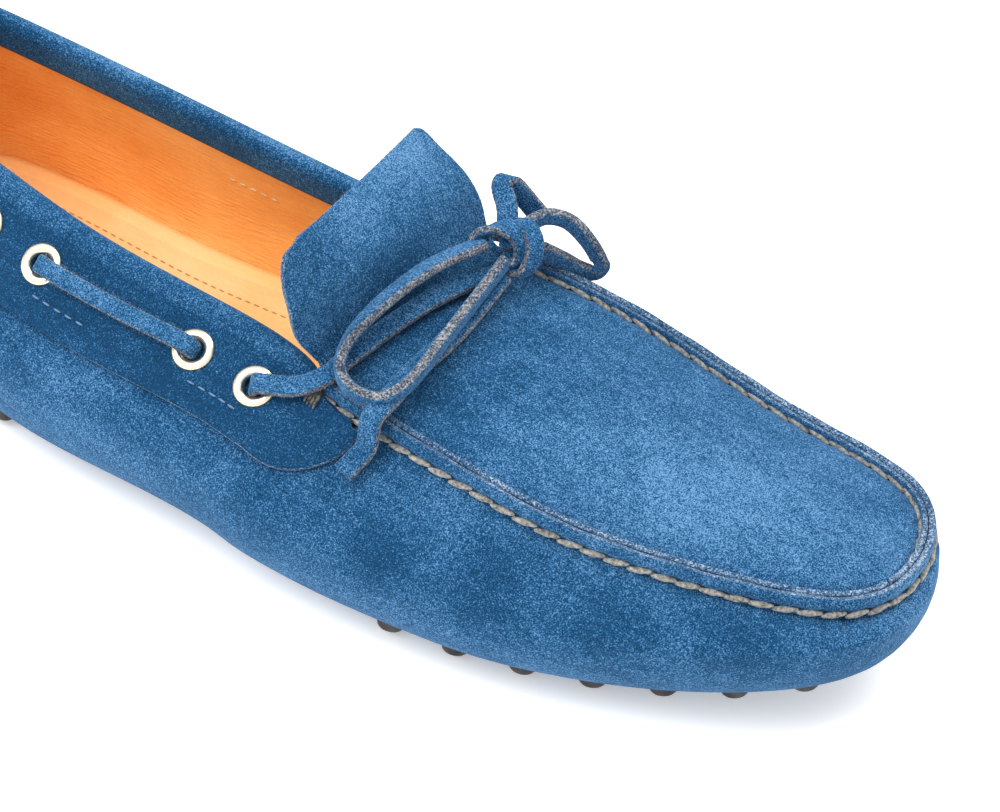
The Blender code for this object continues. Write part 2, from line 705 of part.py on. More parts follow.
def over_seam(place):
    """Points and normals up the band and over the start of the raised seam."""
    back = along_rim(place, -5.5 * MM if place < TOE else 5.5 * MM)
    _, normal, _ = (part[0, 0] for part in skin_frame([back], [1.0]))
    outwards = np.append(-outline([place])[1][0], 0)
    low = on_facets(back, 1.0 * MM, ON_SIDE + 1.2 * MM)
    edge = ridge_top(place, -0.2 * MM, -3.0 * MM)
    inside = ridge_top(place, 4.4 * MM, -2.4 * MM)
    return [low, edge, inside], [normal + UP * 0.5, outwards * 0.5 + UP, UP]


def on_apron(place, share, lift):
    """A point above the apron and the apron's normal there."""
    step = 0.02
    across = apron_point(place, share + step) - apron_point(place, share - step)
    along = apron_point(place + step, share) - apron_point(place - step, share)
    normal = np.cross(along, across)
    normal /= np.linalg.norm(normal)
    return apron_point(place, share) + normal * lift, normal


outer_rim = over_seam(CROSSING_PLACE)
inner_rim = over_seam(other_side(CROSSING_PLACE))
start = out_of_bore(PLACES[0][0], outer_rim[0][0] - eyelet_frame(PLACES[0][0])[0])
finish = out_of_bore(PLACES[1][0], inner_rim[0][0] - eyelet_frame(PLACES[1][0])[0])
over = [on_apron(THROAT + place, share, lift * MM) for place, share, lift in CROSSING_STEPS]
points = start[0] + outer_rim[0] + [item[0] for item in over] + inner_rim[0][::-1] + finish[0][::-1]
normals = start[1] + outer_rim[1] + [item[1] for item in over] + inner_rim[1][::-1] + finish[1][::-1]
ribbon("lace_crossing", points, normals)

# Bow: a knot above the crossing near the inner seam, two loops and two free ends. Steps are
# counted from the knot's centre in mm.
KNOT_SIZE = Vector((9.2, 7.6, 6.6)) * MM
KNOT_ROUND = 1.8 * MM
KNOT = on_apron(THROAT + 0.17, 0.86, 8.6 * MM)[0]
OUTWARDS = np.array([0, -1, 0])
NEAR_LOOP = (
    # along, across, up
    (-5.6, -4.0, 1.3),
    (-10.6, -18.3, 1.5),
    (-14.5, -35.0, -1.5),
    (-16.4, -43.5, -6.6),
    (-14.2, -49.3, -9.6),
    (-9.0, -51.9, -11.0),
    (-2.8, -51.2, -10.8),
    (0.8, -46.5, -8.6),
    (1.6, -30.8, -4.4),
    (1.6, -6.0, 0.6),
)
FAR_LOOP = (
    # along, across, up
    (0.2, 5.4, 3.2),
    (2.6, 8.6, 6.4),
    (7.0, 11.4, 5.2),
    (11.4, 13.2, 1.4),
    (15.2, 15.0, -4.6),
    (16.4, 16.0, -8.4),
    (12.6, 14.6, -7.6),
    (8.0, 11.4, -5.6),
    (4.6, 5.6, -1.6),
)
NEAR_END = (
    # along, across, up
    (1.4, -6.0, -3.4),
    (0.4, -25.5, -8.4),
    (-0.6, -41.4, -12.0),
    (-0.2, -48.3, -13.6),
    (0.2, -52.4, -14.4),
)
FAR_END = (
    # along, across, up
    (-5.4, 2.4, 2.4),
    (-8.2, 4.4, 6.2),
    (-10.8, 6.4, 9.2),
    (-10.6, 9.2, 10.8),
    (-7.2, 11.6, 8.6),
    (-2.6, 14.0, 4.0),
)

knot = bmesh.new()
bmesh.ops.create_cube(knot, size=1, matrix=Matrix.Translation(KNOT) @ Matrix.Diagonal((*KNOT_SIZE, 1)))
bow_knot = add_object("bow_knot", finish_mesh("bow_knot", knot), LACE_SUEDE)
rounded = bow_knot.modifiers.new("rounded", "BEVEL")
rounded.width = KNOT_ROUND
rounded.segments = 2


def from_knot(steps):
    return [KNOT + np.array(step) * MM for step in steps]


def loop_normals(points):
    """Normals of a loop that stands on its edge: away from the middle of the loop."""
    points = np.array(points)
    plane = np.array([0.15, -0.35, 1.0])
    away = points - (points.max(0) + points.min(0)) / 2
    runs = np.gradient(points, axis=0)
    normals = np.cross(runs, plane)
    facing = np.sign(np.sum(normals * away, axis=1))
    return list(normals * facing[:, None] / np.linalg.norm(normals, axis=1)[:, None])


for name, steps in (("bow_loop_near", NEAR_LOOP), ("bow_loop_far", FAR_LOOP)):
    points = from_knot(steps)
    ribbon(name, points, loop_normals(points))

# The near end runs under the near loop, over the seam and down the band's front end
END_PLACE = THROAT + 0.54
END_DROPS = (4.5, 8.5, 12.5)
points = from_knot(NEAR_END)
normals = [UP] * (len(points) - 1) + [(UP + OUTWARDS) / sqrt(2)]
for i, drop in enumerate(END_DROPS):
    share = below_rim(END_PLACE - 0.05 * i, drop * MM)
    point, normal, _ = skin_frame([END_PLACE - 0.05 * i], [share])
    points.append(point[0, 0] + normal[0, 0] * ON_SIDE)
    normals.append(normal[0, 0])
ribbon("bow_end_near", points, normals)

points = from_knot(FAR_END)
away = np.array([-0.5, 0.6, 0.6])
ribbon("bow_end_far", points, [away] * len(points))
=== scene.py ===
"""The looks of a right-foot driving loafer in blue suede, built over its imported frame.

Metres throughout: X to the toe, Y to the inner side, Z up from the floor.
"""

from math import cos, pi, radians, sin, sqrt

import bmesh
import bpy
import numpy as np
from mathutils import Matrix, Vector


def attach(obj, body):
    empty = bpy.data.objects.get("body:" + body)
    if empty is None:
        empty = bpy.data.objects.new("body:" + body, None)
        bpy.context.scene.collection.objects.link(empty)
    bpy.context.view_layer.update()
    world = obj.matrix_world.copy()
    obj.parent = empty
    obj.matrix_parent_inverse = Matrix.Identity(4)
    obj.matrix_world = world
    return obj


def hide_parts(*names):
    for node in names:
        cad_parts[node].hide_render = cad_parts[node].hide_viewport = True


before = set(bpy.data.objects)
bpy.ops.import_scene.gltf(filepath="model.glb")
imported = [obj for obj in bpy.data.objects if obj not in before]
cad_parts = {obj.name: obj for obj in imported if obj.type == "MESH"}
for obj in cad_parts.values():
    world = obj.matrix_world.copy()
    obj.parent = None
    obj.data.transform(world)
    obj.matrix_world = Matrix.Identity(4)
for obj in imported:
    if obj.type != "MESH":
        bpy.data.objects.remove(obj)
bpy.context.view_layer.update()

MM = 0.001
UP = np.array([0.0, 0.0, 1.0])
chance = np.random.default_rng(7)

# View, floor and light
# The camera stands over the outer side of the toe, as the photographer did, above a white sweep. One
# large soft lamp lights the shoe from behind its toe, and a white room fills the shadows.
AIM = Vector((0.0358, 0.00337, 0.025))
VIEW_AZIMUTH, VIEW_ELEVATION, VIEW_ROLL = radians(25.88), radians(42.39), radians(7.18)
VIEW_DISTANCE = 0.9042
LENS_MM = 141.03
AIM_ASIDE, AIM_ABOVE = 0.00321, 0.01037


def add_object(name, data):
    made = bpy.data.objects.new(name, data)
    bpy.context.scene.collection.objects.link(made)
    return made


def add_light(name, place, aim, size, power, colour):
    lamp = bpy.data.lights.new(name, "AREA")
    lamp.shape = "RECTANGLE"
    lamp.size, lamp.size_y = size
    lamp.energy = power
    lamp.color = colour
    lit = add_object(name, lamp)
    lit.location = place
    lit.rotation_euler = (Vector(aim) - Vector(place)).to_track_quat("-Z", "Y").to_euler()


level_away = Vector((sin(VIEW_AZIMUTH), -cos(VIEW_AZIMUTH), 0))
away = level_away * cos(VIEW_ELEVATION) + Vector((0, 0, sin(VIEW_ELEVATION)))
right = Vector((cos(VIEW_AZIMUTH), sin(VIEW_AZIMUTH), 0))
above = away.cross(right)
rolled_right = right * cos(VIEW_ROLL) + above * sin(VIEW_ROLL)
rolled_up = above * cos(VIEW_ROLL) - right * sin(VIEW_ROLL)
forward = (rolled_right * AIM_ASIDE + rolled_up * AIM_ABOVE - away).normalized()
side = (rolled_right - forward * rolled_right.dot(forward)).normalized()
lens = bpy.data.cameras.new("camera")
lens.lens, lens.sensor_width = LENS_MM, 36
lens.clip_start, lens.clip_end = 0.05, 20
camera = add_object("camera", lens)
turned = Matrix((side, side.cross(forward), -forward)).transposed().to_4x4()
camera.matrix_world = Matrix.Translation(AIM + away * VIEW_DISTANCE) @ turned
bpy.context.scene.camera = camera
bpy.context.scene.view_settings.view_transform = "Standard"

room = bpy.data.worlds.new("white room")
room.use_nodes = True
room.node_tree.nodes["Background"].inputs["Color"].default_value = (0.97, 0.985, 1.0, 1)
room.node_tree.nodes["Background"].inputs["Strength"].default_value = 1.02
bpy.context.scene.world = room
add_light("key", (0.25, 0.55, 0.95), (0.02, 0, 0.02), (0.9, 0.6), 7.0, (1.0, 0.985, 0.96))
add_light("fill", (-0.35, -0.55, 1.00), (-0.04, 0, 0.02), (0.8, 0.8), 12.0, (1.0, 0.99, 0.97))


def node(tree, kind, inputs=(), **settings):
    """Adds a node with these settings, its inputs fed by numbers, colours or other nodes' outputs."""
    made = tree.nodes.new(kind)
    for key, value in settings.items():
        setattr(made, key, value)
    for key, value in dict(inputs).items():
        if isinstance(value, bpy.types.NodeSocket):
            tree.links.new(value, made.inputs[key])
        else:
            made.inputs[key].default_value = value
    return made


def new_material(name, **values):
    """A material whose Principled shader gets these plain values, and its node tree."""
    made = bpy.data.materials.new(name)
    made.use_nodes = True
    shader = made.node_tree.nodes["Principled BSDF"]
    for key, value in values.items():
        shader.inputs[key.replace("_", " ")].default_value = value
    return made, made.node_tree, shader


def feed(shader, **outputs):
    """Links the outputs of nodes to a shader's inputs."""
    for key, output in outputs.items():
        shader.id_data.links.new(output, shader.inputs[key.replace("_", " ")])


def bump(tree, height, strength, distance, **more):
    given = {"Height": height, "Strength": strength, "Distance": distance, **more}
    return node(tree, "ShaderNodeBump", given).outputs["Normal"]


def as_mesh(name, build):
    mesh = bpy.data.meshes.new(name)
    build.to_mesh(mesh)
    build.free()
    return mesh


paper, paper_tree, paper_shader = new_material(
    "white sweep",
    Base_Color=(0.93, 0.93, 0.93, 1),
    Roughness=0.9,
    Emission_Color=(1, 1, 1, 1),
    Emission_Strength=0.30,
)
fibre = node(paper_tree, "ShaderNodeTexNoise", {"Scale": 160.0, "Detail": 4.0})
feed(paper_shader, Normal=bump(paper_tree, fibre.outputs["Fac"], 0.05, 1 * MM))
sweep = bmesh.new()
bmesh.ops.create_grid(sweep, x_segments=8, y_segments=8, size=4.0)
floor = add_object("floor", as_mesh("floor", sweep))
floor.data.materials.append(paper)

# Upper
# One wraparound piece of suede, lasted up from under the foot. In front of the throat its edge
# stands up as the outer half of the raised seam, and the thread draws a pucker at every stitch.
LENGTH, BALL_WIDTH, HEEL_HEIGHT, INSTEP_HEIGHT = 288 * MM, 100 * MM, 66 * MM, 52 * MM
ARCH_RISE, TOE_SPRING, HEEL_SPRING, STUD_HEIGHT = 2.6 * MM, 13.4 * MM, 1.5 * MM, 3.2 * MM
UPPER_WALL, SEAM_GAP = 1.6 * MM, 0.5 * MM
SUEDE_THICKNESS = 1.5 * MM
RIDGE_HEIGHT, RIDGE_INSIDE, RIDGE_LEAN = 4.5 * MM, 2.2 * MM, radians(6)
STITCH_PITCH = 5.5 * MM
PUCKER, GROOVE, EDGE_WAVE = 0.38 * MM, 0.85 * MM, 0.12 * MM
SECTIONS = {
    # along, across, foot, widest, rim_in, by_heel, by_instep, lean
    "heel back": (0.000, 0.014, 0.160, 0.300, 0.068, 1.00, 0.00, 5),
    "heel corner out": (0.030, -0.242, 0.165, 0.305, 0.068, 0.94, 0.04, 6),
    "heel side out": (0.117, -0.360, 0.170, 0.318, 0.160, 0.72, 0.27, 12),
    "quarter out": (0.282, -0.482, 0.172, 0.332, 0.239, 0.36, 0.598, 30),
    "waist out": (0.453, -0.523, 0.180, 0.335, 0.267, 0.10, 0.866, 34),
    "throat out": (0.523, -0.549, 0.192, 0.345, 0.248, 0.00, 0.919, 34),
    "joint out": (0.674, -0.520, 0.210, 0.290, 0.168, 0.00, 0.883, 40),
    "toes out": (0.795, -0.440, 0.236, 0.318, 0.142, 0.00, 0.764, 40),
    "toe corner out": (0.935, -0.250, 0.239, 0.345, 0.089, 0.00, 0.694, 38),
    "toe tip": (1.000, 0.014, 0.225, 0.320, 0.045, 0.00, 0.655, 35),
    "toe corner in": (0.967, 0.312, 0.220, 0.280, 0.020, 0.00, 0.708, 38),
    "toes in": (0.844, 0.428, 0.220, 0.273, 0.068, 0.00, 0.750, 40),
    "joint in": (0.701, 0.481, 0.220, 0.286, 0.124, 0.00, 0.902, 40),
    "throat in": (0.559, 0.402, 0.210, 0.306, 0.132, 0.00, 1.088, 30),
    "waist in": (0.420, 0.351, 0.200, 0.305, 0.078, 0.10, 0.964, 14),
    "quarter in": (0.268, 0.357, 0.180, 0.293, 0.068, 0.36, 0.637, 10),
    "heel side in": (0.110, 0.372, 0.170, 0.265, 0.092, 0.72, 0.22, 8),
    "heel corner in": (0.027, 0.272, 0.162, 0.270, 0.088, 0.94, 0.03, 6),
}
TABLE = np.array(list(SECTIONS.values()))
AROUND = len(SECTIONS)
THROAT, TOE = 5, 9
ARCH_SPAN, TOE_SPRING_FROM, HEEL_SPRING_TO = (0.26, 0.60), 0.76, 0.07
CORNER_SHARE, CORNER_POWER = 0.45, 2.3
WALL_PULL = 1.1
SMOOTHING = 4 * np.eye(AROUND) + np.roll(np.eye(AROUND), 1, 0) + np.roll(np.eye(AROUND), -1, 0)
SLOPES = np.linalg.solve(SMOOTHING, 3 * (np.roll(TABLE, -1, 0) - np.roll(TABLE, 1, 0)))


def curve_between(t, first, last, slope_first, slope_last):
    """A smooth curve from first to last as t goes from 0 to 1, with these slopes at its ends."""
    value = (2 * t**3 - 3 * t**2 + 1) * first + (3 * t**2 - 2 * t**3) * last
    return value + (t**3 - 2 * t**2 + t) * slope_first + (t**3 - t**2) * slope_last


def sections_at(places):
    """A smooth closed curve through the table's rows, read at places counted in rows."""
    places = np.asarray(places, float) % AROUND
    row = np.floor(places).astype(int) % AROUND
    after = (row + 1) % AROUND
    t = (places - np.floor(places))[:, None]
    return curve_between(t, TABLE[row], TABLE[after], SLOPES[row], SLOPES[after])


def bottom_height(along):
    start, end = ARCH_SPAN
    arch = np.sin(pi * np.clip((along - start) / (end - start), 0, 1)) ** 2
    spring = np.clip((along - TOE_SPRING_FROM) / (1 - TOE_SPRING_FROM), 0, 1) ** 2
    heel = np.clip((HEEL_SPRING_TO - along) / HEEL_SPRING_TO, 0, 1) ** 2
    return STUD_HEIGHT + ARCH_RISE * arch + TOE_SPRING * spring + HEEL_SPRING * heel


def unit(vectors):
    return vectors / np.linalg.norm(vectors, axis=-1, keepdims=True)


def outline(places):
    """Plan points of the widest line and the directions that point inwards from it."""
    scale = (LENGTH, BALL_WIDTH)
    points = sections_at(places)[:, :2] * scale
    ahead = sections_at(np.asarray(places) + 0.02)[:, :2] * scale
    behind = sections_at(np.asarray(places) - 0.02)[:, :2] * scale
    run = unit(ahead - behind)
    return points, np.stack([-run[:, 1], run[:, 0]], 1)


def inwards_at(places):
    """Level directions that point inwards from the widest line."""
    return np.column_stack([outline(places)[1], np.zeros(len(places))])


dense = outline(np.linspace(0, AROUND, 720))[0]
CENTRE = (dense.max(0) + dense.min(0)) / 2


def bare_skin(places, shares):
    """Points on the last: places round it, and shares from 0 at the flat bottom to 1 at the rim."""
    rows = sections_at(places)
    points, inwards = outline(places)
    foot, rim_in = (rows[:, 2] * BALL_WIDTH)[:, None], (rows[:, 4] * BALL_WIDTH)[:, None]
    widest = (rows[:, 3] * HEEL_HEIGHT)[:, None]
    rim = (rows[:, 5] * HEEL_HEIGHT + rows[:, 6] * INSTEP_HEIGHT)[:, None]
    lean = np.radians(rows[:, 7])[:, None]
    flat = points + inwards * foot
    bottom = bottom_height(np.clip(flat[:, 0] / LENGTH, 0, 1))[:, None]
    turn = np.clip(shares / CORNER_SHARE, 0, 1) * pi / 2
    corner_in = foot * (1 - np.sin(turn) ** (2 / CORNER_POWER))
    corner_up = bottom + widest * (1 - np.cos(turn) ** (2 / CORNER_POWER))
    t = np.clip((shares - CORNER_SHARE) / (1 - CORNER_SHARE), 0, 1)
    rise = rim - bottom - widest
    pull = WALL_PULL * np.hypot(rim_in, rise)
    wall_in = curve_between(t, 0, rim_in, 0, pull * np.sin(lean))
    wall_up = bottom + widest + curve_between(t, 0, rise, pull, pull * np.cos(lean))
    wall = shares > CORNER_SHARE
    plan = points[:, None] + inwards[:, None] * np.where(wall, wall_in, corner_in)[:, :, None] - CENTRE
    return np.concatenate([plan, np.where(wall, wall_up, corner_up)[:, :, None]], 2)


def skin_frame(places, shares):
    """Points on the last with their outward normals and their directions up the skin."""
    places = np.asarray(places, float)
    shares = np.broadcast_to(np.asarray(shares, float), (len(places), np.shape(shares)[-1]))
    points = bare_skin(places, shares)
    around = bare_skin(places + 0.01, shares) - bare_skin(places - 0.01, shares)
    up = bare_skin(places, np.minimum(shares + 0.01, 1)) - bare_skin(places, np.maximum(shares - 0.01, 0))
    return points, unit(np.cross(around, up)), unit(up)


def skin_at(place, share):
    """The point, outward normal and direction up the skin at one place and share."""
    return [part[0, 0] for part in skin_frame([place], [share])]


def other_side(place):
    return AROUND - place


def run_along(points):
    """How far each point of a line lies from its start, measured along it."""
    return np.append(0, np.cumsum(np.linalg.norm(np.diff(points, axis=0), axis=1)))


def read_at(at, run, values):
    """Points or directions given along a run, read at other distances along it."""
    return np.stack([np.interp(at, run, values[:, axis]) for axis in range(3)], -1)


def along_rim(start, distance):
    """The place that lies this far along the rim from start. A negative distance goes back."""
    places = start + np.linspace(0, 4, 400) * np.sign(distance)
    points = bare_skin(places, np.ones((len(places), 1)))[:, 0]
    return float(np.interp(abs(distance), run_along(points), places))


def ridge_top(places, inset, rise):
    """Points at a height on the raised seam, this far inside its outer face."""
    places = np.asarray(places, float)
    rim = bare_skin(places, np.ones((len(places), 1)))[:, 0]
    rise, inset = np.broadcast_to(rise, len(places))[:, None], np.broadcast_to(inset, len(places))[:, None]
    return rim + inwards_at(places) * (inset + rise * sin(RIDGE_LEAN)) + UP * rise * cos(RIDGE_LEAN)


seam_places = np.linspace(THROAT, other_side(THROAT), 900)
seam_run = run_along(ridge_top(seam_places, 0, 0))


def seam_phase(places):
    """Where a place of the seam lies between two stitches, as an angle. A stitch is at 0."""
    return 2 * pi * np.interp(places, seam_places, seam_run) / STITCH_PITCH


MIDDLE = Vector((0, 0, 30 * MM))


def shaped_grid(name, place_points, materials, tones=None, facing_up=False):
    """A sheet: a grid whose points are moved to place_points, with its faces turned outwards or up.
    Its tone attribute lightens or darkens the finish from point to point, with brushed nap and with painted
    light and shade."""
    across, up = place_points.shape[:2]
    build = bmesh.new()
    build.loops.layers.uv.new("UVMap")
    bmesh.ops.create_grid(build, x_segments=across - 1, y_segments=up - 1, size=1, calc_uvs=True)
    at = np.array([vert.co for vert in build.verts])[:, :2]
    at = (at - at.min(0)) / (at.max(0) - at.min(0))
    columns, rows = np.rint(at[:, 0] * (across - 1)).astype(int), np.rint(at[:, 1] * (up - 1)).astype(int)
    tone_layer = build.verts.layers.float.new("tone")
    for vert, i, j in zip(build.verts, columns, rows):
        vert.co = place_points[i, j]
        vert[tone_layer] = 0 if tones is None else tones[i, j]
    bmesh.ops.remove_doubles(build, verts=build.verts, dist=0.02 * MM)
    bmesh.ops.dissolve_degenerate(build, edges=build.edges, dist=0.01 * MM)
    build.normal_update()
    turned_right = 0
    for face in build.faces:
        towards = Vector(UP) if facing_up else face.calc_center_median() - MIDDLE
        turned_right += face.calc_area() * face.normal.dot(towards)
    if turned_right < 0:
        bmesh.ops.reverse_faces(build, faces=build.faces)
    return finished(name, build, materials)


def finished(name, build, materials):
    """The piece that a bmesh makes, smooth and riding on the shoe's one body."""
    made = add_object(name, as_mesh(name, build))
    for each in materials:
        made.data.materials.append(each)
    made.data.shade_smooth()
    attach(made, "root")
    return made


def wall(made, thickness, inwards=True, rim=0):
    """Gives a sheet its thickness, with the cut edge in the material that follows by this number."""
    solid = made.modifiers.new("wall", "SOLIDIFY")
    solid.thickness = thickness
    solid.offset = -1 if inwards else 1
    solid.material_offset_rim = rim
    return solid


def both_sides(stations, side_points, steps):
    """Columns round the foot: down the outer side, across the bottom in steps, up the inner side."""
    outer = side_points(stations)[:, ::-1]
    inner = side_points(other_side(stations))
    share = np.linspace(0, 1, steps + 2)[1:-1][None, :, None]
    bottom = outer[:, -1:] * (1 - share) + inner[:, :1] * share
    return np.concatenate([outer, bottom, inner], 1)


# Soft troughs and ridges of the worn upper, given one by one: place round the last, share up it, reach
# along and up in mm, depth in mm (a trough is positive) and turn in degrees.
CREASES = (
    # place, share, along, up, depth, turn
    (4.10, 0.62, 16, 4, 0.50, 20),
    (4.75, 0.52, 18, 4, 0.45, -15),
    (5.55, 0.66, 13, 4, 0.60, 28),
    (5.95, 0.55, 15, 4, -0.45, 24),
    (6.35, 0.68, 13, 4, 0.60, 18),
    (6.70, 0.56, 16, 4, 0.40, 22),
    (7.15, 0.70, 12, 3, 0.45, 12),
    (7.60, 0.55, 14, 4, -0.40, -8),
    (8.20, 0.62, 12, 4, 0.35, 6),
    (3.20, 0.50, 20, 6, 0.55, -8),
    (2.30, 0.45, 16, 5, -0.45, 12),
    (12.10, 0.66, 13, 4, 0.60, -24),
    (11.60, 0.60, 14, 4, 0.50, -16),
    (12.70, 0.55, 16, 5, -0.50, -20),
    (13.60, 0.50, 18, 5, 0.50, 14),
    (15.10, 0.48, 16, 6, 0.55, 10),
    (16.80, 0.50, 14, 6, 0.40, 0),
)
CREASE_REACH = 60 * MM


def crease_depth(places, shares):
    """How deep the upper is dented at places and shares, as an array of places by shares."""
    centre = bare_skin(np.array([c[0] for c in CREASES]), np.array([[c[1]] for c in CREASES]))[:, 0]
    points, normal, up = skin_frame(places, shares)
    run = np.cross(up, normal)
    depth = np.zeros(points.shape[:2])
    for middle, (_, _, reach, rise, deep, turn) in zip(centre, CREASES):
        apart = points - middle
        along, over = np.sum(apart * run, 2), np.sum(apart * up, 2)
        a, b = cos(radians(turn)), sin(radians(turn))
        fall = ((along * a + over * b) / reach) ** 2 + ((over * a - along * b) / rise) ** 2
        depth += deep * MM * np.exp(-fall / MM**2) * (np.linalg.norm(apart, axis=2) < CREASE_REACH)
    return depth


def seam_fade(places):
    """A share from 0 behind the throat to 1 a little in front of it, on both sides."""
    fore = np.minimum(places - THROAT, other_side(THROAT) - places)
    return np.clip(fore / 0.10, 0, 1)


def fall_off(distance, reach):
    return np.exp(-((distance / reach) ** 2))


UPPER_SHARES = np.concatenate([np.linspace(0, 0.9, 26), np.linspace(0.92, 1, 9)])
RIDGE_RISES = np.linspace(0, 1, 9)[1:]


def upper_side(places):
    """The suede's outer face on one side, from the flat of the bottom to the seam's top edge."""
    points, normal, up = skin_frame(places, UPPER_SHARES)
    below = np.linalg.norm(points - points[:, -1:], axis=2)
    fade = seam_fade(places)[:, None]
    wave = np.cos(seam_phase(places))[:, None]
    draw = GROOVE * fall_off(below, 1.5 * MM) + PUCKER * wave * fall_off(below, 3.5 * MM)
    dent = crease_depth(places, UPPER_SHARES) + fade * draw
    wall_points = points - normal * dent[:, :, None]
    tops = []
    for rise in RIDGE_RISES:
        swell = 0.30 * sin(pi * rise) - 0.75 * (1 - rise) ** 3 * wave[:, 0] * 0.5
        inset = -swell * MM + GROOVE * np.exp(-((rise * 3.2) ** 2)) * fade[:, 0]
        uneven = EDGE_WAVE * np.sin(seam_phase(places) * 0.37) * rise
        height = rise * RIDGE_HEIGHT * fade[:, 0] + uneven
        tops.append(ridge_top(places, inset * fade[:, 0], height * fade[:, 0]))
    return np.concatenate([wall_points, np.stack(tops, 1)], 1)


# Lighter and darker spots on the suede, given one by one: partly brushed nap, partly painted highlight,
# sheen and shade where the light falls. Centre in mm, reach in mm, and how much lighter or darker each spot
# lies.
NAP_AND_PAINTED_LIGHT_MARKS = (
    # along, across, height, reach, tone
    # Lighter along the outer side's lower corner: painted sheen where the light grazes.
    (-92, -45, 16, 22, 0.18),
    (-52, -50, 12, 22, 0.12),
    (-20, -52, 14, 20, 0.10),
    (16, -52, 12, 18, 0.18),
    (44, -50, 14, 16, 0.20),
    (76, -42, 14, 16, 0.18),
    (112, -26, 16, 14, 0.30),
    (8, -50, 30, 12, -0.35),
    (36, -48, 31, 11, -0.58),
    (62, -44, 30, 11, -0.58),
    (90, -38, 29, 11, -0.56),
    (116, -26, 27, 11, -0.50),
    (134, 0, 24, 14, -0.25),
    (140, 12, 34, 12, 0.45),
    (-70, -36, 36, 12, -0.30),
    (-30, -44, 34, 12, -0.30),
    (50, 4, 54, 24, -0.05),
    (82, -6, 48, 22, 0.52),
    (112, 4, 40, 20, 0.34),
    (36, -20, 50, 10, -0.22),
    (20, -4, 60, 12, -0.25),
    # The tongue's top: painted highlight, with painted shade just below it.
    (-4, 0, 76, 10, 0.70),
    (10, 0, 68, 12, -0.40),
    (-8, 22, 78, 10, 1.00),
    (-6, -18, 66, 12, -0.05),
    # Lighter along the top of the far side: painted highlight.
    (-90, 30, 62, 20, 0.60),
    (-40, 30, 56, 20, 0.50),
    (0, 26, 56, 14, 0.40),
)


def nap_and_painted_light_tone(points):
    """Tone at an array of points: brushed nap together with painted highlight, sheen and shade."""
    tone = np.zeros(points.shape[:-1])
    for *centre, reach, strength in NAP_AND_PAINTED_LIGHT_MARKS:
        away_from = np.linalg.norm(points - np.array(centre) * MM, axis=-1)
        tone += strength * fall_off(away_from, reach * MM)
    return tone


def suede_group():
    """Napped suede: fine speckled fibres, soft blotches and brushed streaks over a base colour. The Tone input
    lifts or lowers it with brushed nap and painted highlight and shade.
    """
    tree = bpy.data.node_groups.new("suede nap", "ShaderNodeTree")
    for name, kind, value in (
        ("Dark", "NodeSocketColor", (0.004, 0.033, 0.085, 1)),
        ("Mid", "NodeSocketColor", (0.013, 0.088, 0.210, 1)),
        ("Light", "NodeSocketColor", (0.13, 0.27, 0.46, 1)),
        ("Tone", "NodeSocketFloat", 0.0),
        ("Grain", "NodeSocketFloat", 1.0),
        ("Relief", "NodeSocketFloat", 1.0),
    ):
        tree.interface.new_socket(name, in_out="INPUT", socket_type=kind).default_value = value
    tree.interface.new_socket("Colour", in_out="OUTPUT", socket_type="NodeSocketColor")
    tree.interface.new_socket("Roughness", in_out="OUTPUT", socket_type="NodeSocketFloat")
    tree.interface.new_socket("Normal", in_out="OUTPUT", socket_type="NodeSocketVector")
    given = tree.nodes.new("NodeGroupInput").outputs
    put_out = tree.nodes.new("NodeGroupOutput")
    at = node(tree, "ShaderNodeTexCoord").outputs["Object"]

    def noise(scale, detail, roughness=0.6, vector=at):
        given_to = {"Vector": vector, "Scale": scale, "Detail": detail, "Roughness": roughness}
        return node(tree, "ShaderNodeTexNoise", given_to).outputs["Fac"]

    def maths(operation, first, second):
        return node(tree, "ShaderNodeMath", {0: first, 1: second}, operation=operation).outputs[0]

    fine_scale = maths("MULTIPLY", given["Grain"], 2900.0)
    fine = noise(fine_scale, 3.0, 0.7)
    tufts = noise(820.0, 3.0, 0.65)
    blotch = noise(120.0, 4.0, 0.6)
    cloud = noise(34.0, 3.0, 0.55)
    combed = {"Vector": at, "Rotation": (0.2, 0.3, 0.5), "Scale": (60, 420, 300)}
    brushed_at = node(tree, "ShaderNodeMapping", combed)
    brushed = noise(1.0, 3.0, 0.6, brushed_at.outputs["Vector"])
    spread = maths("MULTIPLY", fine, 2.20)
    for layer, weight in ((tufts, 0.42), (blotch, 0.26), (cloud, 0.24), (brushed, 0.22)):
        spread = maths("ADD", spread, maths("MULTIPLY", layer, weight))
    spread = maths("SUBTRACT", spread, 1.722)
    toned = maths("ADD", maths("MULTIPLY", spread, 2.1), maths("MULTIPLY", given["Tone"], 0.60))
    toned = maths("ADD", toned, 0.5)
    colour = given["Dark"]
    for start, end, next_colour in ((0.0, 0.5, given["Mid"]), (0.5, 1.15, given["Light"])):
        share = node(tree, "ShaderNodeMapRange", {"Value": toned, "From Min": start, "From Max": end})
        mix = {0: share.outputs[0], 6: colour, 7: next_colour}
        colour = node(tree, "ShaderNodeMix", mix, data_type="RGBA").outputs[2]
    tree.links.new(colour, put_out.inputs["Colour"])
    rough = node(tree, "ShaderNodeMapRange", {"Value": tufts, "To Min": 0.86, "To Max": 1.0})
    tree.links.new(rough.outputs[0], put_out.inputs["Roughness"])
    height = maths("ADD", maths("MULTIPLY", fine, 0.5), maths("MULTIPLY", tufts, 0.9))
    height = maths("ADD", height, maths("MULTIPLY", blotch, 1.4))
    tree.links.new(bump(tree, height, given["Relief"], 0.35 * MM), put_out.inputs["Normal"])
    return tree


SUEDE_NAP = suede_group()


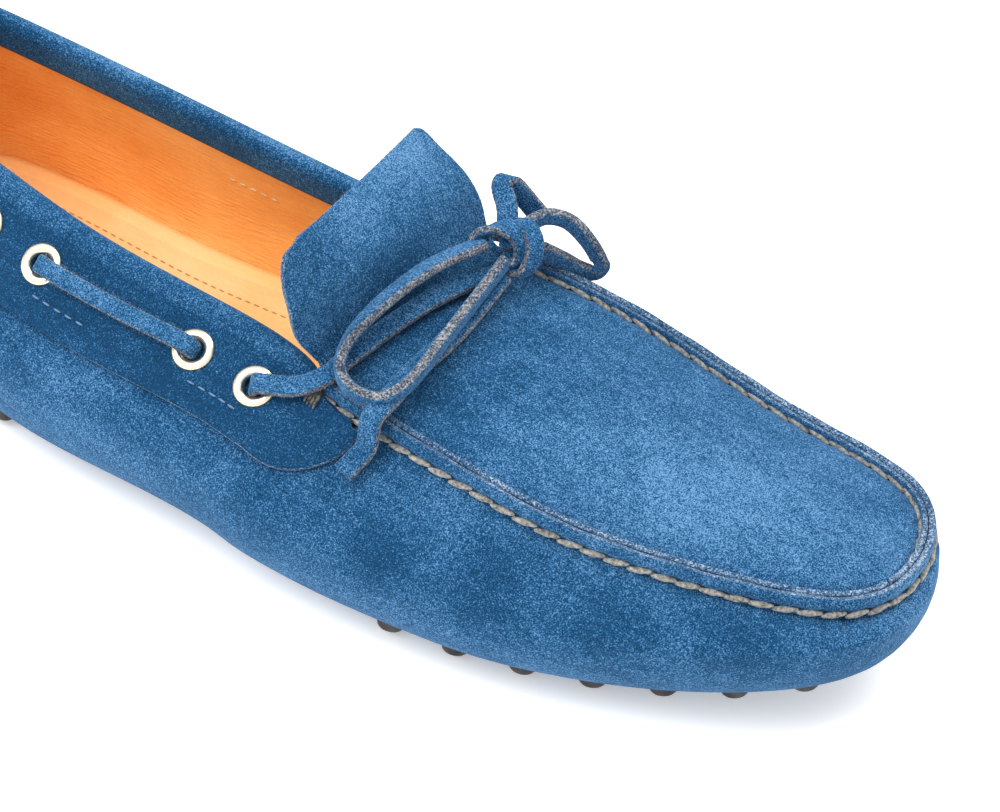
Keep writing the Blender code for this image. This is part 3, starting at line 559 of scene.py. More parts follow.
def suede(name, tone=0.0, **colours):
    """A suede material. Its colours may differ from the shoe's blue, and tone lifts it all over."""
    made, tree, shader = new_material(
        name,
        Specular_IOR_Level=0.08,
        Sheen_Weight=0.24,
        Sheen_Roughness=0.40,
        Sheen_Tint=(0.36, 0.64, 1.0, 1),
    )
    nap = node(tree, "ShaderNodeGroup", node_tree=SUEDE_NAP)
    for key, value in colours.items():
        nap.inputs[key].default_value = value
    # The tone attribute carries each sheet's brushed nap and its painted highlight, sheen and shade.
    tone_with_painted_light = node(tree, "ShaderNodeAttribute", attribute_name="tone").outputs["Fac"]
    lifted = node(tree, "ShaderNodeMath", {0: tone_with_painted_light, 1: tone}, operation="ADD").outputs[0]
    tree.links.new(lifted, nap.inputs["Tone"])
    nap_with_painted_light = nap.outputs
    feed(shader, Base_Color=nap_with_painted_light["Colour"], Roughness=nap_with_painted_light["Roughness"], Normal=nap_with_painted_light["Normal"])
    return made


blue_suede = suede("blue suede")
raw_edge = suede(
    "raw suede edge",
    Dark=(0.010, 0.040, 0.10, 1),
    Mid=(0.055, 0.12, 0.22, 1),
    Light=(0.38, 0.47, 0.58, 1),
    Grain=0.8,
)

stations = np.concatenate([np.linspace(0, THROAT, 150)[:-1], np.linspace(THROAT, TOE, 250)])
upper_points = both_sides(stations, upper_side, 12)
upper = shaped_grid("upper_suede", upper_points, [blue_suede, raw_edge], nap_and_painted_light_tone(upper_points))
wall(upper, SUEDE_THICKNESS, rim=1)
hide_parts("upper")

# Lining
# Tan leather glued to the upper's flesh side all round, with fine lengthwise wrinkles where the
# quarters bend.
LINING_THICKNESS = 0.28 * MM
LINING_DEPTH = SUEDE_THICKNESS + 0.05 * MM + LINING_THICKNESS


def noise_on(tree, scale, detail, vector=None, **more):
    """Noise over the piece's own coordinates, or over the vector given."""
    vector = vector or node(tree, "ShaderNodeTexCoord").outputs["Object"]
    given = {"Vector": vector, "Scale": scale, "Detail": detail, **more}
    return node(tree, "ShaderNodeTexNoise", given).outputs["Fac"]


def colour_ramp(tree, factor, *stops):
    """A colour that runs through stops, each a position and a colour."""
    made = node(tree, "ShaderNodeValToRGB", {"Fac": factor})
    if len(stops) == 3:
        made.color_ramp.elements.new(0.5)
    for element, (position, colour) in zip(made.color_ramp.elements, stops):
        element.position = position
        element.color = (*colour, 1)
    return made.outputs["Color"]


def tan_leather(name, dark, mid, light, wrinkle):
    """Smooth tan leather on the sheet's own map: a slow drift of colour, pores and long wrinkles, lifted or
    lowered by the sheet's tone attribute, which on the lining is painted shade.
    """
    made, tree, shader = new_material(name, Roughness=0.5, Specular_IOR_Level=0.35)
    on_map = node(tree, "ShaderNodeTexCoord").outputs["UV"]
    stretched = node(tree, "ShaderNodeMapping", {"Vector": on_map, "Scale": (22.0, 75.0, 1.0)})
    folds = noise_on(tree, 3.0, 5.0, stretched.outputs["Vector"], Roughness=0.55, Distortion=0.6)
    shade = noise_on(tree, 26.0, 3.0)
    pores = noise_on(tree, 1500.0, 3.0)
    # The sheet's tone attribute: painted shade on the lining, none on the insole.
    tone_with_painted_light = node(tree, "ShaderNodeAttribute", attribute_name="tone").outputs["Fac"]
    for layer, weight in ((tone_with_painted_light, 1.0), (pores, 0.22), (folds, 0.30)):
        added = {0: layer, 1: weight, 2: shade}
        shade = node(tree, "ShaderNodeMath", added, operation="MULTIPLY_ADD").outputs[0]
    wrinkled = bump(tree, folds, wrinkle, 0.8 * MM)
    feed(
        shader,
        Base_Color=colour_ramp(tree, shade, (0.42, dark), (0.74, mid), (1.0, light)),
        Normal=bump(tree, pores, 0.25, 0.1 * MM, Normal=wrinkled),
    )
    return made


LINING_TANS = (0.66, 0.20, 0.030), (0.88, 0.345, 0.075), (0.98, 0.50, 0.15)
lining_leather = tan_leather("tan lining", *LINING_TANS, wrinkle=0.55)
LINING_SHARES = np.linspace(0, 0.985, 30)


def lining_side(places):
    points, normal, _ = skin_frame(places, LINING_SHARES)
    return points - normal * (LINING_DEPTH + crease_depth(places, LINING_SHARES)[:, :, None])


lining_stations = np.linspace(0, TOE, 150)
lining_points = both_sides(lining_stations, lining_side, 6)
along = lining_points[:, :, 0]
# Painted shade: the lining turns darker towards the heel, deep inside the shoe.
lining_painted_shade = 0.10 - 0.10 * np.clip((-along - 0.05) / 0.06, 0, 1)
lining = shaped_grid("lining", lining_points, [lining_leather], lining_painted_shade)
wall(lining, LINING_THICKNESS, inwards=False)

# Insole
# A leather sock laid in the bottom on the sole plates, its edge turned up a little and sewn down
# all round with a row of tan thread.
GAP = 0.35 * MM
PLATE_DEPTH, PLATE_THICKNESS, INSOLE_THICKNESS = UPPER_WALL + GAP, 1.5 * MM, 2.0 * MM
INSOLE_TOP = PLATE_DEPTH + PLATE_THICKNESS + GAP + INSOLE_THICKNESS
INSOLE_SHARES = np.linspace(0, 0.33, 18)
TURN_UP_FROM, TURN_UP_OVER, LINING_CLEARANCE = 0.27, 0.06, 0.9 * MM
SOCK_STITCH, SOCK_STITCH_SHARE = 2.6 * MM, 0.135


def insole_side(places):
    points, normal, _ = skin_frame(places, INSOLE_SHARES)
    turned = np.clip((INSOLE_SHARES - TURN_UP_FROM) / TURN_UP_OVER, 0, 1) ** 1.5
    rise = turned * (INSOLE_TOP - LINING_DEPTH - LINING_CLEARANCE)
    return points - normal * (INSOLE_TOP - rise)[:, None]


INSOLE_TANS = (0.82, 0.40, 0.125), (0.93, 0.54, 0.205), (0.97, 0.66, 0.32)
insole_leather = tan_leather("insole leather", *INSOLE_TANS, wrinkle=0.15)
insole_points = both_sides(lining_stations[1:-1], insole_side, 14)
insole = shaped_grid("insole_leather", insole_points, [insole_leather], facing_up=True)
wall(insole, INSOLE_THICKNESS)
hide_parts("insole")

# Sole
# Two rubber plates lie inside the bottom, and their round pebbles stand out through the suede and
# carry the shoe. Each plate's eight-sided studs are cut off, and moulded pebbles take their places.
rubber, rubber_tree, rubber_shader = new_material("dark rubber", Roughness=0.62, Specular_IOR_Level=0.4)
dust = noise_on(rubber_tree, 240.0, 5.0, Roughness=0.6)
rubber_stops = (0.35, (0.018, 0.015, 0.014)), (0.75, (0.085, 0.078, 0.075))
feed(
    rubber_shader,
    Base_Color=colour_ramp(rubber_tree, dust, *rubber_stops),
    Normal=bump(rubber_tree, dust, 0.3, 0.2 * MM),
)
STUD_SIDES, STUD_RADIUS = 8, 3.5 * MM
STUD_AREA = STUD_SIDES / 2 * STUD_RADIUS**2 * sin(2 * pi / STUD_SIDES)
AREA_SLACK = 0.06
PEBBLE_PROFILE = np.array([
    # radius, height
    (0, 0),
    (1.7, -0.02),
    (2.5, -0.30),
    (3.05, -0.85),
    (3.35, -1.7),
    (3.5, -3.0),
    (3.5, -4.4),
    (0, -4.4),
])


def spun(profile, steps):
    """A profile of radii and heights turned once round Z."""
    build = bmesh.new()
    points = [build.verts.new((radius, 0, height)) for radius, height in profile]
    edges = [build.edges.new(pair) for pair in zip(points, points[1:])]
    geom = points + edges
    bmesh.ops.spin(build, geom=geom, cent=(0, 0, 0), axis=(0, 0, 1), angle=2 * pi, steps=steps, use_merge=True)
    return build


def add_copies(build, shape, places):
    """Adds copies of a mesh to a bmesh, each moved by its matrix, in groups that keep this quick."""
    for first in range(0, len(places), 60):
        group = bmesh.new()
        for place in places[first : first + 60]:
            start = len(group.verts)
            group.from_mesh(shape)
            group.verts.ensure_lookup_table()
            bmesh.ops.transform(group, matrix=place, verts=group.verts[start:])
        joined = as_mesh("group", group)
        build.from_mesh(joined)
        bpy.data.meshes.remove(joined)


pebble = spun(PEBBLE_PROFILE * MM, 24)
bmesh.ops.remove_doubles(pebble, verts=pebble.verts, dist=0.01 * MM)
bmesh.ops.dissolve_degenerate(pebble, edges=pebble.edges, dist=0.01 * MM)
bmesh.ops.recalc_face_normals(pebble, faces=pebble.faces)
one_pebble = as_mesh("one pebble", pebble)
for name in ("sole_forefoot", "sole_heel"):
    plate = bmesh.new()
    plate.from_mesh(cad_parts[name].data)
    bmesh.ops.remove_doubles(plate, verts=plate.verts, dist=0.01 * MM)
    bmesh.ops.dissolve_limit(plate, angle_limit=radians(0.5), verts=plate.verts, edges=plate.edges)
    caps = [
        face for face in plate.faces
        if len(face.verts) == STUD_SIDES and abs(face.calc_area() / STUD_AREA - 1) < AREA_SLACK
    ]
    turns = [cap.normal.to_track_quat("Z", "Y").to_matrix().to_4x4() for cap in caps]
    places = [Matrix.Translation(cap.calc_center_median()) @ turn for cap, turn in zip(caps, turns)]
    studs = {face for cap in caps for edge in cap.edges for face in edge.link_faces}
    bmesh.ops.delete(plate, geom=list(studs), context="FACES")
    bmesh.ops.holes_fill(plate, edges=[edge for edge in plate.edges if edge.is_boundary])
    bmesh.ops.recalc_face_normals(plate, faces=plate.faces)
    add_copies(plate, one_pebble, places)
    sole = finished(name + "_pebbles", plate, [rubber])
    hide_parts(name)

# Apron and tongue
# The plug on top of the toes, sewn inside the upper's standing edge. Behind the throat the same
# piece of suede runs on free, arched over the instep, as the tongue.
APRON_THICKNESS, APRON_CROWN = 1.3 * MM, 0.085
APRON_EDGE = SUEDE_THICKNESS + 0.1 * MM + APRON_THICKNESS
TONGUE_BACK, TONGUE_RISE, TONGUE_ARCH = 19 * MM, 23 * MM, 10 * MM
TONGUE_ROWS = np.array([
    # back, rise, middle, half_width, arch, tilt
    (0.00, 0.00, 0.020, 0.250, 0.15, 20),
    (0.05, 0.13, 0.020, 0.262, 0.35, 38),
    (0.21, 0.35, 0.020, 0.292, 0.35, 48),
    (0.39, 0.62, 0.020, 0.302, 0.35, 50),
    (0.67, 0.84, 0.025, 0.298, 0.30, 52),
    (0.90, 0.97, 0.038, 0.282, 0.15, 55),
    (1.00, 1.00, 0.060, 0.240, 0.05, 55),
])
ACROSS = np.linspace(0, 1, 71)
APRON_STEPS = np.linspace(0, 1, 6)


def apron_point(places, share):
    """Points of the apron's upper face, from 0 at its outer edge to 1 at its inner edge."""
    places = np.asarray(places, float)
    outer = ridge_top(places, APRON_EDGE, RIDGE_HEIGHT - RIDGE_INSIDE)
    inner = ridge_top(other_side(places), APRON_EDGE, RIDGE_HEIGHT - RIDGE_INSIDE)
    share = np.broadcast_to(share, len(places))[:, None]
    crown = APRON_CROWN * np.linalg.norm(inner - outer, axis=1)[:, None] * (1 - (2 * share - 1) ** 2)
    return outer + (inner - outer) * share + UP * crown


def upright_rows(places):
    """Rows down one upright edge of the apron, from its top."""
    return [
        ridge_top(places, APRON_EDGE + 0.30 * MM * sin(pi * step), RIDGE_HEIGHT - RIDGE_INSIDE * step)
        for step in APRON_STEPS[:-1]
    ]


def apron_rows(places):
    """Rows from the outer edge's top, down its upright, across the apron, and up the inner upright."""
    wave = {side: np.cos(seam_phase(places if side == 0 else other_side(places))) for side in (0, 1)}
    fade = seam_fade(places)
    rows = upright_rows(places)
    width = np.linalg.norm(apron_point(places, 0) - apron_point(places, 1), axis=1)
    for share in ACROSS:
        flat = apron_point(places, share)
        for end, edge in ((0, share * width), (1, (1 - share) * width)):
            dip = 0.5 * fall_off(edge, 1.2 * MM) + 0.25 * wave[end] * fall_off(edge, 3.0 * MM)
            swell = 0.35 * fall_off(edge - 4.5 * MM, 2.6 * MM)
            flat = flat - UP * ((dip - swell) * MM * fade)[:, None]
        rows.append(flat)
    return np.stack(rows + upright_rows(other_side(places))[::-1], 1)


def smooth_rows(table, count):
    """Rows read from a table along a smooth curve through its rows."""
    t = np.linspace(0, len(table) - 1, count)
    row = np.clip(np.floor(t).astype(int), 0, len(table) - 2)
    slopes = np.gradient(table, axis=0)
    t = (t - row)[:, None]
    return curve_between(t, table[row], table[row + 1], slopes[row], slopes[row + 1])


def tongue_rows(count):
    """Rows of the free tongue, from its tip to the throat."""
    throat = apron_point([THROAT], 0.5)[0]
    half_skew = (apron_point([THROAT], 1)[0] - apron_point([THROAT], 0)[0]) / 2
    shares = np.linspace(0, 1, len(ACROSS) + 2 * (len(APRON_STEPS) - 1))
    side = (2 * shares - 1)[:, None]
    rows = []
    for back, rise, middle, half_width, arch, tilt in smooth_rows(TONGUE_ROWS, 42)[::-1]:
        skew = half_skew * (1 - rise**2)
        centre = throat + np.array([-back * TONGUE_BACK, 0, rise * TONGUE_RISE])
        centre[1] = middle * BALL_WIDTH
        inwards = np.array([-sin(radians(tilt)), 0, -cos(radians(tilt))])
        spread = np.array([skew[0], half_width * BALL_WIDTH, skew[2]])
        rows.append(centre + inwards * arch * TONGUE_ARCH * side**2 + side * spread)
    return np.array(rows)[:-3]


apron_places = np.linspace(THROAT + 0.015, TOE - 0.02, 250)
apron_points = np.concatenate([tongue_rows(42), apron_rows(apron_places)])
apron = shaped_grid(
    "apron_and_tongue_suede", apron_points, [blue_suede, raw_edge], nap_and_painted_light_tone(apron_points), facing_up=True
)
wall(apron, APRON_THICKNESS, rim=1)
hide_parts("apron_and_tongue")

# Collar band
# Suede folded over the topline, a wide leg outside with a raw lower edge and a short one inside,
# from one end of the throat round the heel to the other, pierced for the eyelets.
BAND_THICKNESS, BAND_WIDTH, BAND_LEG = 1.4 * MM, 23.5 * MM, 6.0 * MM
BAND_CORNER, BAND_SLANT, BAND_TAPER, SLANT_RUN = 10.6 * MM, 17.7 * MM, 11.0 * MM, 12.7 * MM
SLANT_POWER, TAPER_POWER, BAND_PUFF = 0.127, 2.5, 0.35 * MM
BAND_END_GAP = 3.0 * MM
BAND_END = along_rim(THROAT, -BAND_END_GAP)
LEG_STEPS = np.linspace(1, 0, 26)
ROLL_TURNS = np.radians(np.linspace(0, 180, 15)[1:-1])
INNER_STEPS = np.linspace(0, 1, 7)


def rim_reach(first, second):
    """How far apart two places of the rim are."""
    ends = bare_skin(np.array([first, second]), np.ones((2, 1)))[:, 0]
    return np.linalg.norm(ends[0] - ends[1])


def near_front(place):
    """A share from 1 at the band's front ends to 0 further back."""
    front = BAND_END if place > 0 else -BAND_END
    return max(0, 1 - rim_reach(front, place) / SLANT_RUN)


def on_skin(place, distance, out):
    """A point this far below the rim, measured along the skin, and this far out from it."""
    shares = np.linspace(1, 0.3, 60)
    points = bare_skin(np.array([place]), shares[None])[0]
    point, normal, _ = skin_at(place, np.interp(distance, run_along(points), shares))
    return point + out * normal


def band_column(place):
    """One column of the band: up its outside leg, over the fold, and down its short inside leg."""
    front = near_front(place)
    end = BAND_END if place > 0 else -BAND_END
    from_end = min(rim_reach(end, place), BAND_CORNER)
    rounding = BAND_CORNER - sqrt(BAND_CORNER**2 - (BAND_CORNER - from_end) ** 2)
    width = BAND_WIDTH - rounding - BAND_TAPER * front**TAPER_POWER
    column = []
    for down in LEG_STEPS:
        forward = BAND_SLANT * front * down**SLANT_POWER
        at = along_rim(place, forward if place > 0 else -forward) if forward else place
        puff = BAND_PUFF * sin(pi * min(1, down * 1.15)) ** 2
        under_stitches = min(forward, 4.0 * MM) * 0.35
        column.append(on_skin(at, max(width * down, under_stitches), SEAM_GAP + puff))
    point, normal, up = skin_at(place, 1.0)
    radius = UPPER_WALL / 2 + SEAM_GAP
    middle = point - normal * UPPER_WALL / 2
    column += [middle + radius * (cos(a) * normal + sin(a) * up) for a in ROLL_TURNS]
    column += [on_skin(place, BAND_LEG * step, -UPPER_WALL - SEAM_GAP) for step in INNER_STEPS]
    return column


band_run = np.concatenate([np.linspace(0, 0.06, 10)[:-1], np.linspace(0.06, 1, 120)])
half_band = BAND_END * (1 - band_run)
band_places = np.concatenate([-half_band[:-1], half_band[::-1]])
band_points = np.array([band_column(place) for place in band_places])
band_suede = suede("collar suede", tone=-0.62)
band_tone_with_painted_sheen = nap_and_painted_light_tone(band_points)
roll_rows = slice(len(LEG_STEPS) - 3, len(LEG_STEPS) + 8)
# Painted sheen: the roll over the topline is made lighter, as where the light grazes it.
band_tone_with_painted_sheen[:, roll_rows] += 0.45
collar_band = shaped_grid("collar_band_suede", band_points, [band_suede, raw_edge], band_tone_with_painted_sheen)
wall(collar_band, BAND_THICKNESS, inwards=False, rim=1)
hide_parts("collar_band")

# Eyelets
# Ten rolled rings of pale gold metal, five a side, clenched through the band.
EYELET_RADIUS, BORE_RADIUS, BARREL_WALL, FLANGE_RISE = 5.2 * MM, 2.6 * MM, 0.5 * MM, 0.7 * MM
EYELET_DROP, EYELET_SEAT, PUNCH_RADIUS = 10.5 * MM, 0.30 * MM, 3.0 * MM
EYELET_RUNS = (10.6 * MM, 18.0 * MM, 42.7 * MM, 18.0 * MM, 42.7 * MM)
gold, gold_tree, gold_shader = new_material("pale gold", Metallic=1.0, Specular_IOR_Level=0.5)
wear = noise_on(gold_tree, 900.0, 4.0)
gold_rough = node(gold_tree, "ShaderNodeMapRange", {"Value": wear, "To Min": 0.22, "To Max": 0.38})
gold_stops = (0.0, (0.86, 0.70, 0.46)), (1.0, (1.0, 0.91, 0.76))
feed(gold_shader, Base_Color=colour_ramp(gold_tree, wear, *gold_stops), Roughness=gold_rough.outputs[0])
ROLLED_PROFILE = [
    (BORE_RADIUS + 0.1 * MM, -BAND_THICKNESS),
    (BORE_RADIUS, 0.0),
    (BORE_RADIUS + 0.15 * MM, 0.45 * MM),
    (BORE_RADIUS + 0.75 * MM, 0.88 * MM),
    (BORE_RADIUS + 1.4 * MM, 0.92 * MM),
    (EYELET_RADIUS - 0.45 * MM, 0.68 * MM),
    (EYELET_RADIUS, 0.10 * MM),
    (EYELET_RADIUS - 0.5 * MM, 0.0),
]


def eyelet_frame(place, lift=0.0):
    """Centre on the band's outer face, outward normal and direction up the band."""
    out = SEAM_GAP + BAND_THICKNESS
    up = on_skin(place, EYELET_DROP - EYELET_RADIUS, out) - on_skin(place, EYELET_DROP + EYELET_RADIUS, out)
    fore, aft = along_rim(place, EYELET_RADIUS), along_rim(place, -EYELET_RADIUS)
    run = on_skin(fore, EYELET_DROP, out) - on_skin(aft, EYELET_DROP, out)
    up = unit(up)
    normal = unit(np.cross(run, up))
    point = on_skin(place, EYELET_DROP, out)
    return point + normal * (EYELET_SEAT + lift), normal, np.cross(normal, np.cross(up, normal))


inner_end = other_side(THROAT) + THROAT - BAND_END
eyelet_runs = np.cumsum(EYELET_RUNS)
band_ends = ((BAND_END, -1), (inner_end, 1))
PLACES = [[along_rim(end, way * run) for run in eyelet_runs] for end, way in band_ends]
punches = bmesh.new()
for number, place in enumerate(PLACES[0] + PLACES[1], 1):
    point, normal, up = eyelet_frame(place)
    axes = Matrix.Translation(point) @ Matrix((np.cross(up, normal), up, normal)).transposed().to_4x4()
    ring = spun(ROLLED_PROFILE, 40)
    bmesh.ops.recalc_face_normals(ring, faces=ring.faces)
    if max(ring.faces, key=lambda face: face.calc_center_median().z).normal.z < 0:
        bmesh.ops.reverse_faces(ring, faces=ring.faces)
    bmesh.ops.transform(ring, matrix=axes, verts=ring.verts)
    eyelet = finished(f"eyelet_ring_{number}", ring, [gold])
    wall(eyelet, 0.25 * MM)
    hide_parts(f"eyelet_{number}")
    through = Matrix.Translation(Vector(point) - Vector(normal) * 1.5 * MM) @ axes.to_3x3().to_4x4()
    wide = PUNCH_RADIUS
    bmesh.ops.create_cone(
        punches, cap_ends=True, segments=32, radius1=wide, radius2=wide, depth=5 * MM, matrix=through
    )
punch = add_object("punches", as_mesh("punches", punches))
pierced = collar_band.modifiers.new("pierced", "BOOLEAN")
pierced.object = punch
pierced.operation = "DIFFERENCE"
bpy.context.view_layer.update()
shown_band = collar_band.evaluated_get(bpy.context.evaluated_depsgraph_get())
pierced_mesh = bpy.data.meshes.new_from_object(shown_band)
collar_band.modifiers.clear()
collar_band.data = pierced_mesh
bpy.data.objects.remove(punch)

# Hand-sewn seam
# Two rows of thick grey waxed thread, one at each foot of the raised seam, each stitch a lens of
# twisted thread that sinks into the suede at both ends.
THREAD_THICKNESS = 1.6 * MM
ALONG_X = Matrix.Rotation(pi / 2, 3, "Y")
thread, thread_tree, thread_shader = new_material("grey thread", Roughness=0.75, Sheen_Weight=0.3)
strand = noise_on(thread_tree, 1300.0, 4.0)
thread_stops = (0.3, (0.055, 0.050, 0.048)), (0.7, (0.36, 0.345, 0.31))
feed(
    thread_shader,
    Base_Color=colour_ramp(thread_tree, strand, *thread_stops),
    Normal=bump(thread_tree, strand, 0.5, 0.15 * MM),
)


def one_stitch(length, thickness, twist, rings=14, sides=12):
    """A stitch along X: a lens with the grooves of two twisted strands."""
    lens_shape = bmesh.new()
    bmesh.ops.create_uvsphere(lens_shape, u_segments=sides, v_segments=rings, radius=1)
    bmesh.ops.rotate(lens_shape, cent=(0, 0, 0), matrix=ALONG_X, verts=lens_shape.verts)
    for vert in lens_shape.verts:
        angle = np.arctan2(vert.co.z, vert.co.y)
        ply = 0.78 + 0.22 * abs(cos(angle - twist * vert.co.x))
        vert.co = (vert.co.x * length / 2, vert.co.y * ply * thickness / 2, vert.co.z * ply * thickness / 2)
    return as_mesh("one stitch", lens_shape)


def sewn(name, stitch, places, material):
    """Joined copies of a stitch. Each place is a centre, a run and a direction out of the leather."""
    matrices = []
    for centre, run, out in places:
        run = Vector(run).normalized()
        across = Vector(out).cross(run).normalized()
        axes = Matrix((run, across, run.cross(across))).transposed().to_4x4()
        matrices.append(Matrix.Translation(centre) @ axes)
    build = bmesh.new()
    add_copies(build, stitch, matrices)
    return finished(name, build, [material])


def seam_stitches(inset, rise, slant):
    """Places of the stitches at one foot of the raised seam, from throat to throat."""
    count = int(seam_run[-1] / STITCH_PITCH)
    at = np.interp((np.arange(count) + 0.5) * STITCH_PITCH, seam_run, seam_places)
    centres = ridge_top(at, inset, rise)
    runs = ridge_top(at + 0.01, inset, rise) - ridge_top(at - 0.01, inset, rise)
    found = []
    for centre, run, inward in zip(centres, runs, inwards_at(at)):
        facing = -inward if inset < UPPER_WALL else inward
        out = facing * 0.8 + UP * 0.6
        run = unit(run)
        wobble = chance.normal(0, 0.05)
        found.append((centre, run + np.cross(out, run) * (slant + wobble), out))
    return found


rope_stitch = one_stitch(6.0 * MM, THREAD_THICKNESS, 3.2)
for row, inset, rise, slant in (
    ("outer", -0.05 * MM, 0.30 * MM, 0.14),
    ("inner", APRON_EDGE + 0.40 * MM, RIDGE_HEIGHT - RIDGE_INSIDE + 0.25 * MM, -0.14),
):
    sewn(f"seam_stitches_{row}", rope_stitch, seam_stitches(inset, rise, slant), thread)

# Thread ends and machine stitches
# The seam's thread is wrapped round the band's ends to finish it off. Light machine stitches hold
# the band and lining over the lace's hidden runs, and tan ones hold the insole down.
WRAPS, WRAP_PITCH = 4, 0.9 * MM
HIDDEN_RUNS = ((1.5, 16.5), (44.8, 59.0))
MACHINE_DROP, MACHINE_PITCH, BAND_FACE = 17.6 * MM, 3.1 * MM, SEAM_GAP + BAND_THICKNESS
dark_thread, dark_tree, dark_shader = new_material("dark thread", Roughness=0.8)
dark_strand = noise_on(dark_tree, 1600.0, 3.0)
dark_stops = (0.35, (0.012, 0.014, 0.020)), (0.72, (0.20, 0.19, 0.17))
feed(dark_shader, Base_Color=colour_ramp(dark_tree, dark_strand, *dark_stops))


def plain_thread(name, dark, light):
    """Fine spun thread of one colour, a little darker between its fibres."""
    made, tree, shader = new_material(name, Roughness=0.7)
    twisted = noise_on(tree, 1800.0, 2.0)
    colour = node(tree, "ShaderNodeMix", {0: twisted, 6: (*dark, 1), 7: (*light, 1)}, data_type="RGBA")
    feed(shader, Base_Color=colour.outputs[2])
    return made


wraps = []
for end, way in ((THROAT, 1), (other_side(THROAT), -1)):
    for wrap in range(WRAPS):
        place = along_rim(end, way * (wrap - 0.8) * WRAP_PITCH)
        _, normal, up = skin_at(place, 0.98)
        lean = inwards_at([place])[0] * 0.5
        wraps.append((on_skin(place, 0.1 * MM, 2.1 * MM), up + lean, normal))
wrapped = sewn("seam_end_wraps", one_stitch(5.6 * MM, 1.05 * MM, 4.0), wraps, dark_thread)

small_stitch = one_stitch(2.1 * MM, 0.55 * MM, 0.0, rings=6, sides=6)
on_band, on_lining = [], []
for first_eyelet, way in band_ends:
    for start_run, end_run in HIDDEN_RUNS:
        steps = np.arange(start_run * MM + EYELET_RUNS[0], end_run * MM + EYELET_RUNS[0], MACHINE_PITCH)
        for step in steps:
            place = along_rim(first_eyelet, way * step)
            run = on_skin(along_rim(place, MM), MACHINE_DROP, 0) - on_skin(place, MACHINE_DROP, 0)
            normal = skin_at(place, 0.7)[1]
            on_band.append((on_skin(place, MACHINE_DROP, BAND_FACE + 0.42 * MM), run, normal))
            on_lining.append((on_skin(place, MACHINE_DROP, -LINING_DEPTH - 0.12 * MM), run, -normal))
blue_thread = plain_thread("blue thread", (0.03, 0.09, 0.18), (0.16, 0.28, 0.44))
cream_thread = plain_thread("cream thread", (0.45, 0.30, 0.15), (0.78, 0.62, 0.42))
sewn("band_machine_stitches", small_stitch, on_band, blue_thread)
sewn("lining_machine_stitches", small_stitch, on_lining, cream_thread)

sock_places = np.linspace(0, AROUND, 1400)
sock_points, sock_normals, _ = skin_frame(sock_places, [SOCK_STITCH_SHARE])
sock_line = (sock_points - sock_normals * (INSOLE_TOP + 0.05 * MM))[:, 0]
sock_run = run_along(sock_line)
sock_stitches = []
for step in np.arange(0, sock_run[-1] - SOCK_STITCH / 2, SOCK_STITCH):
    centre, ahead = (read_at(at, sock_run, sock_line) for at in (step, step + 0.5 * MM))
    sock_stitches.append((centre, ahead - centre, UP))
tan_thread = plain_thread("tan thread", (0.42, 0.20, 0.06), (0.66, 0.36, 0.13))
sock_stitch = one_stitch(1.8 * MM, 0.5 * MM, 0.0, rings=6, sides=6)
sewn("insole_stitches", sock_stitch, sock_stitches, tan_thread)

# Lace
# A flat strip of suede, blue on both faces with raw grey-brown sides. It shows in bars between
# eyelets, crosses the front of the throat, and is tied in a bow near the inner seam.
LACE_WIDTH, LACE_THICKNESS = 4.8 * MM, 2.1 * MM
BORE_ENTRY, LACE_BEND = 0.7 * MM, 1.75 * MM
OVER_FLANGE, ON_BAND = BORE_ENTRY + LACE_BEND, GAP + LACE_THICKNESS / 2
ROUNDING, RAW_SHARE = 0.75, 0.72
lace_suede = suede("lace suede", tone=0.12)
lace_side = suede(
    "lace raw side",
    Dark=(0.020, 0.035, 0.065, 1),
    Mid=(0.125, 0.135, 0.16, 1),
    Light=(0.36, 0.36, 0.36, 1),
    Grain=0.7,
)


def smooth_path(points, spacing):
    """Points at an even spacing on a smooth curve through points, and their shares of its length."""
    points = np.asarray(points, float)
    lengths = np.sqrt(np.linalg.norm(np.diff(points, axis=0), axis=1))
    knots = np.append(0, np.cumsum(lengths))
    slopes = np.gradient(points, knots, axis=0)
    fine = np.linspace(0, knots[-1], 400)
    row = np.clip(np.searchsorted(knots, fine, side="right") - 1, 0, len(points) - 2)
    width = (knots[row + 1] - knots[row])[:, None]
    t = (fine - knots[row])[:, None] / width
    curve = curve_between(t, points[row], points[row + 1], slopes[row] * width, slopes[row + 1] * width)
    run = run_along(curve)
    even = np.linspace(0, run[-1], int(run[-1] / spacing) + 2)
    return read_at(even, run, curve), even / run[-1]


frayed_laces = []


def lace_strip(name, points, normals, width=LACE_WIDTH, thickness=LACE_THICKNESS):
    """A flat strip of lace along the points, each with the direction that its face looks in."""
    path, shares = smooth_path(points, 0.6 * MM)
    marks = run_along(points)
    runs = unit(np.gradient(path, axis=0))
    sides = unit(np.cross(read_at(shares, marks / marks[-1], np.array(normals)), runs))
    faces = np.cross(runs, sides)
    half_width, half_thick = width / 2, thickness / 2
    corner = ROUNDING * half_thick
    ring = []
    for cx, cy, start in ((1, 1, 0), (-1, 1, 90), (-1, -1, 180), (1, -1, 270)):
        for turn in (0, 22, 45, 68, 90):
            a = radians(start + turn)
            across = cx * (half_width - corner) + corner * cos(a)
            ring.append((across, cy * (half_thick - corner) + corner * sin(a)))
    ring.append(ring[0])
    points_of = np.stack([path + sides * a + faces * b for a, b in ring], 1)
    made = shaped_grid(name, points_of, [lace_suede, lace_side])
    build = bmesh.new()
    build.from_mesh(made.data)
    bmesh.ops.holes_fill(build, edges=build.edges)
    bmesh.ops.recalc_face_normals(build, faces=build.faces)
    for face in build.faces:
        centre = np.array(face.calc_center_median())
        i = int(np.argmin(np.linalg.norm(path - centre, axis=1)))
        face.material_index = int(abs(np.dot(centre - path[i], faces[i])) < RAW_SHARE * half_thick)
    build.to_mesh(made.data)
    build.free()
    frayed_laces.append((path, faces))
    return made, path


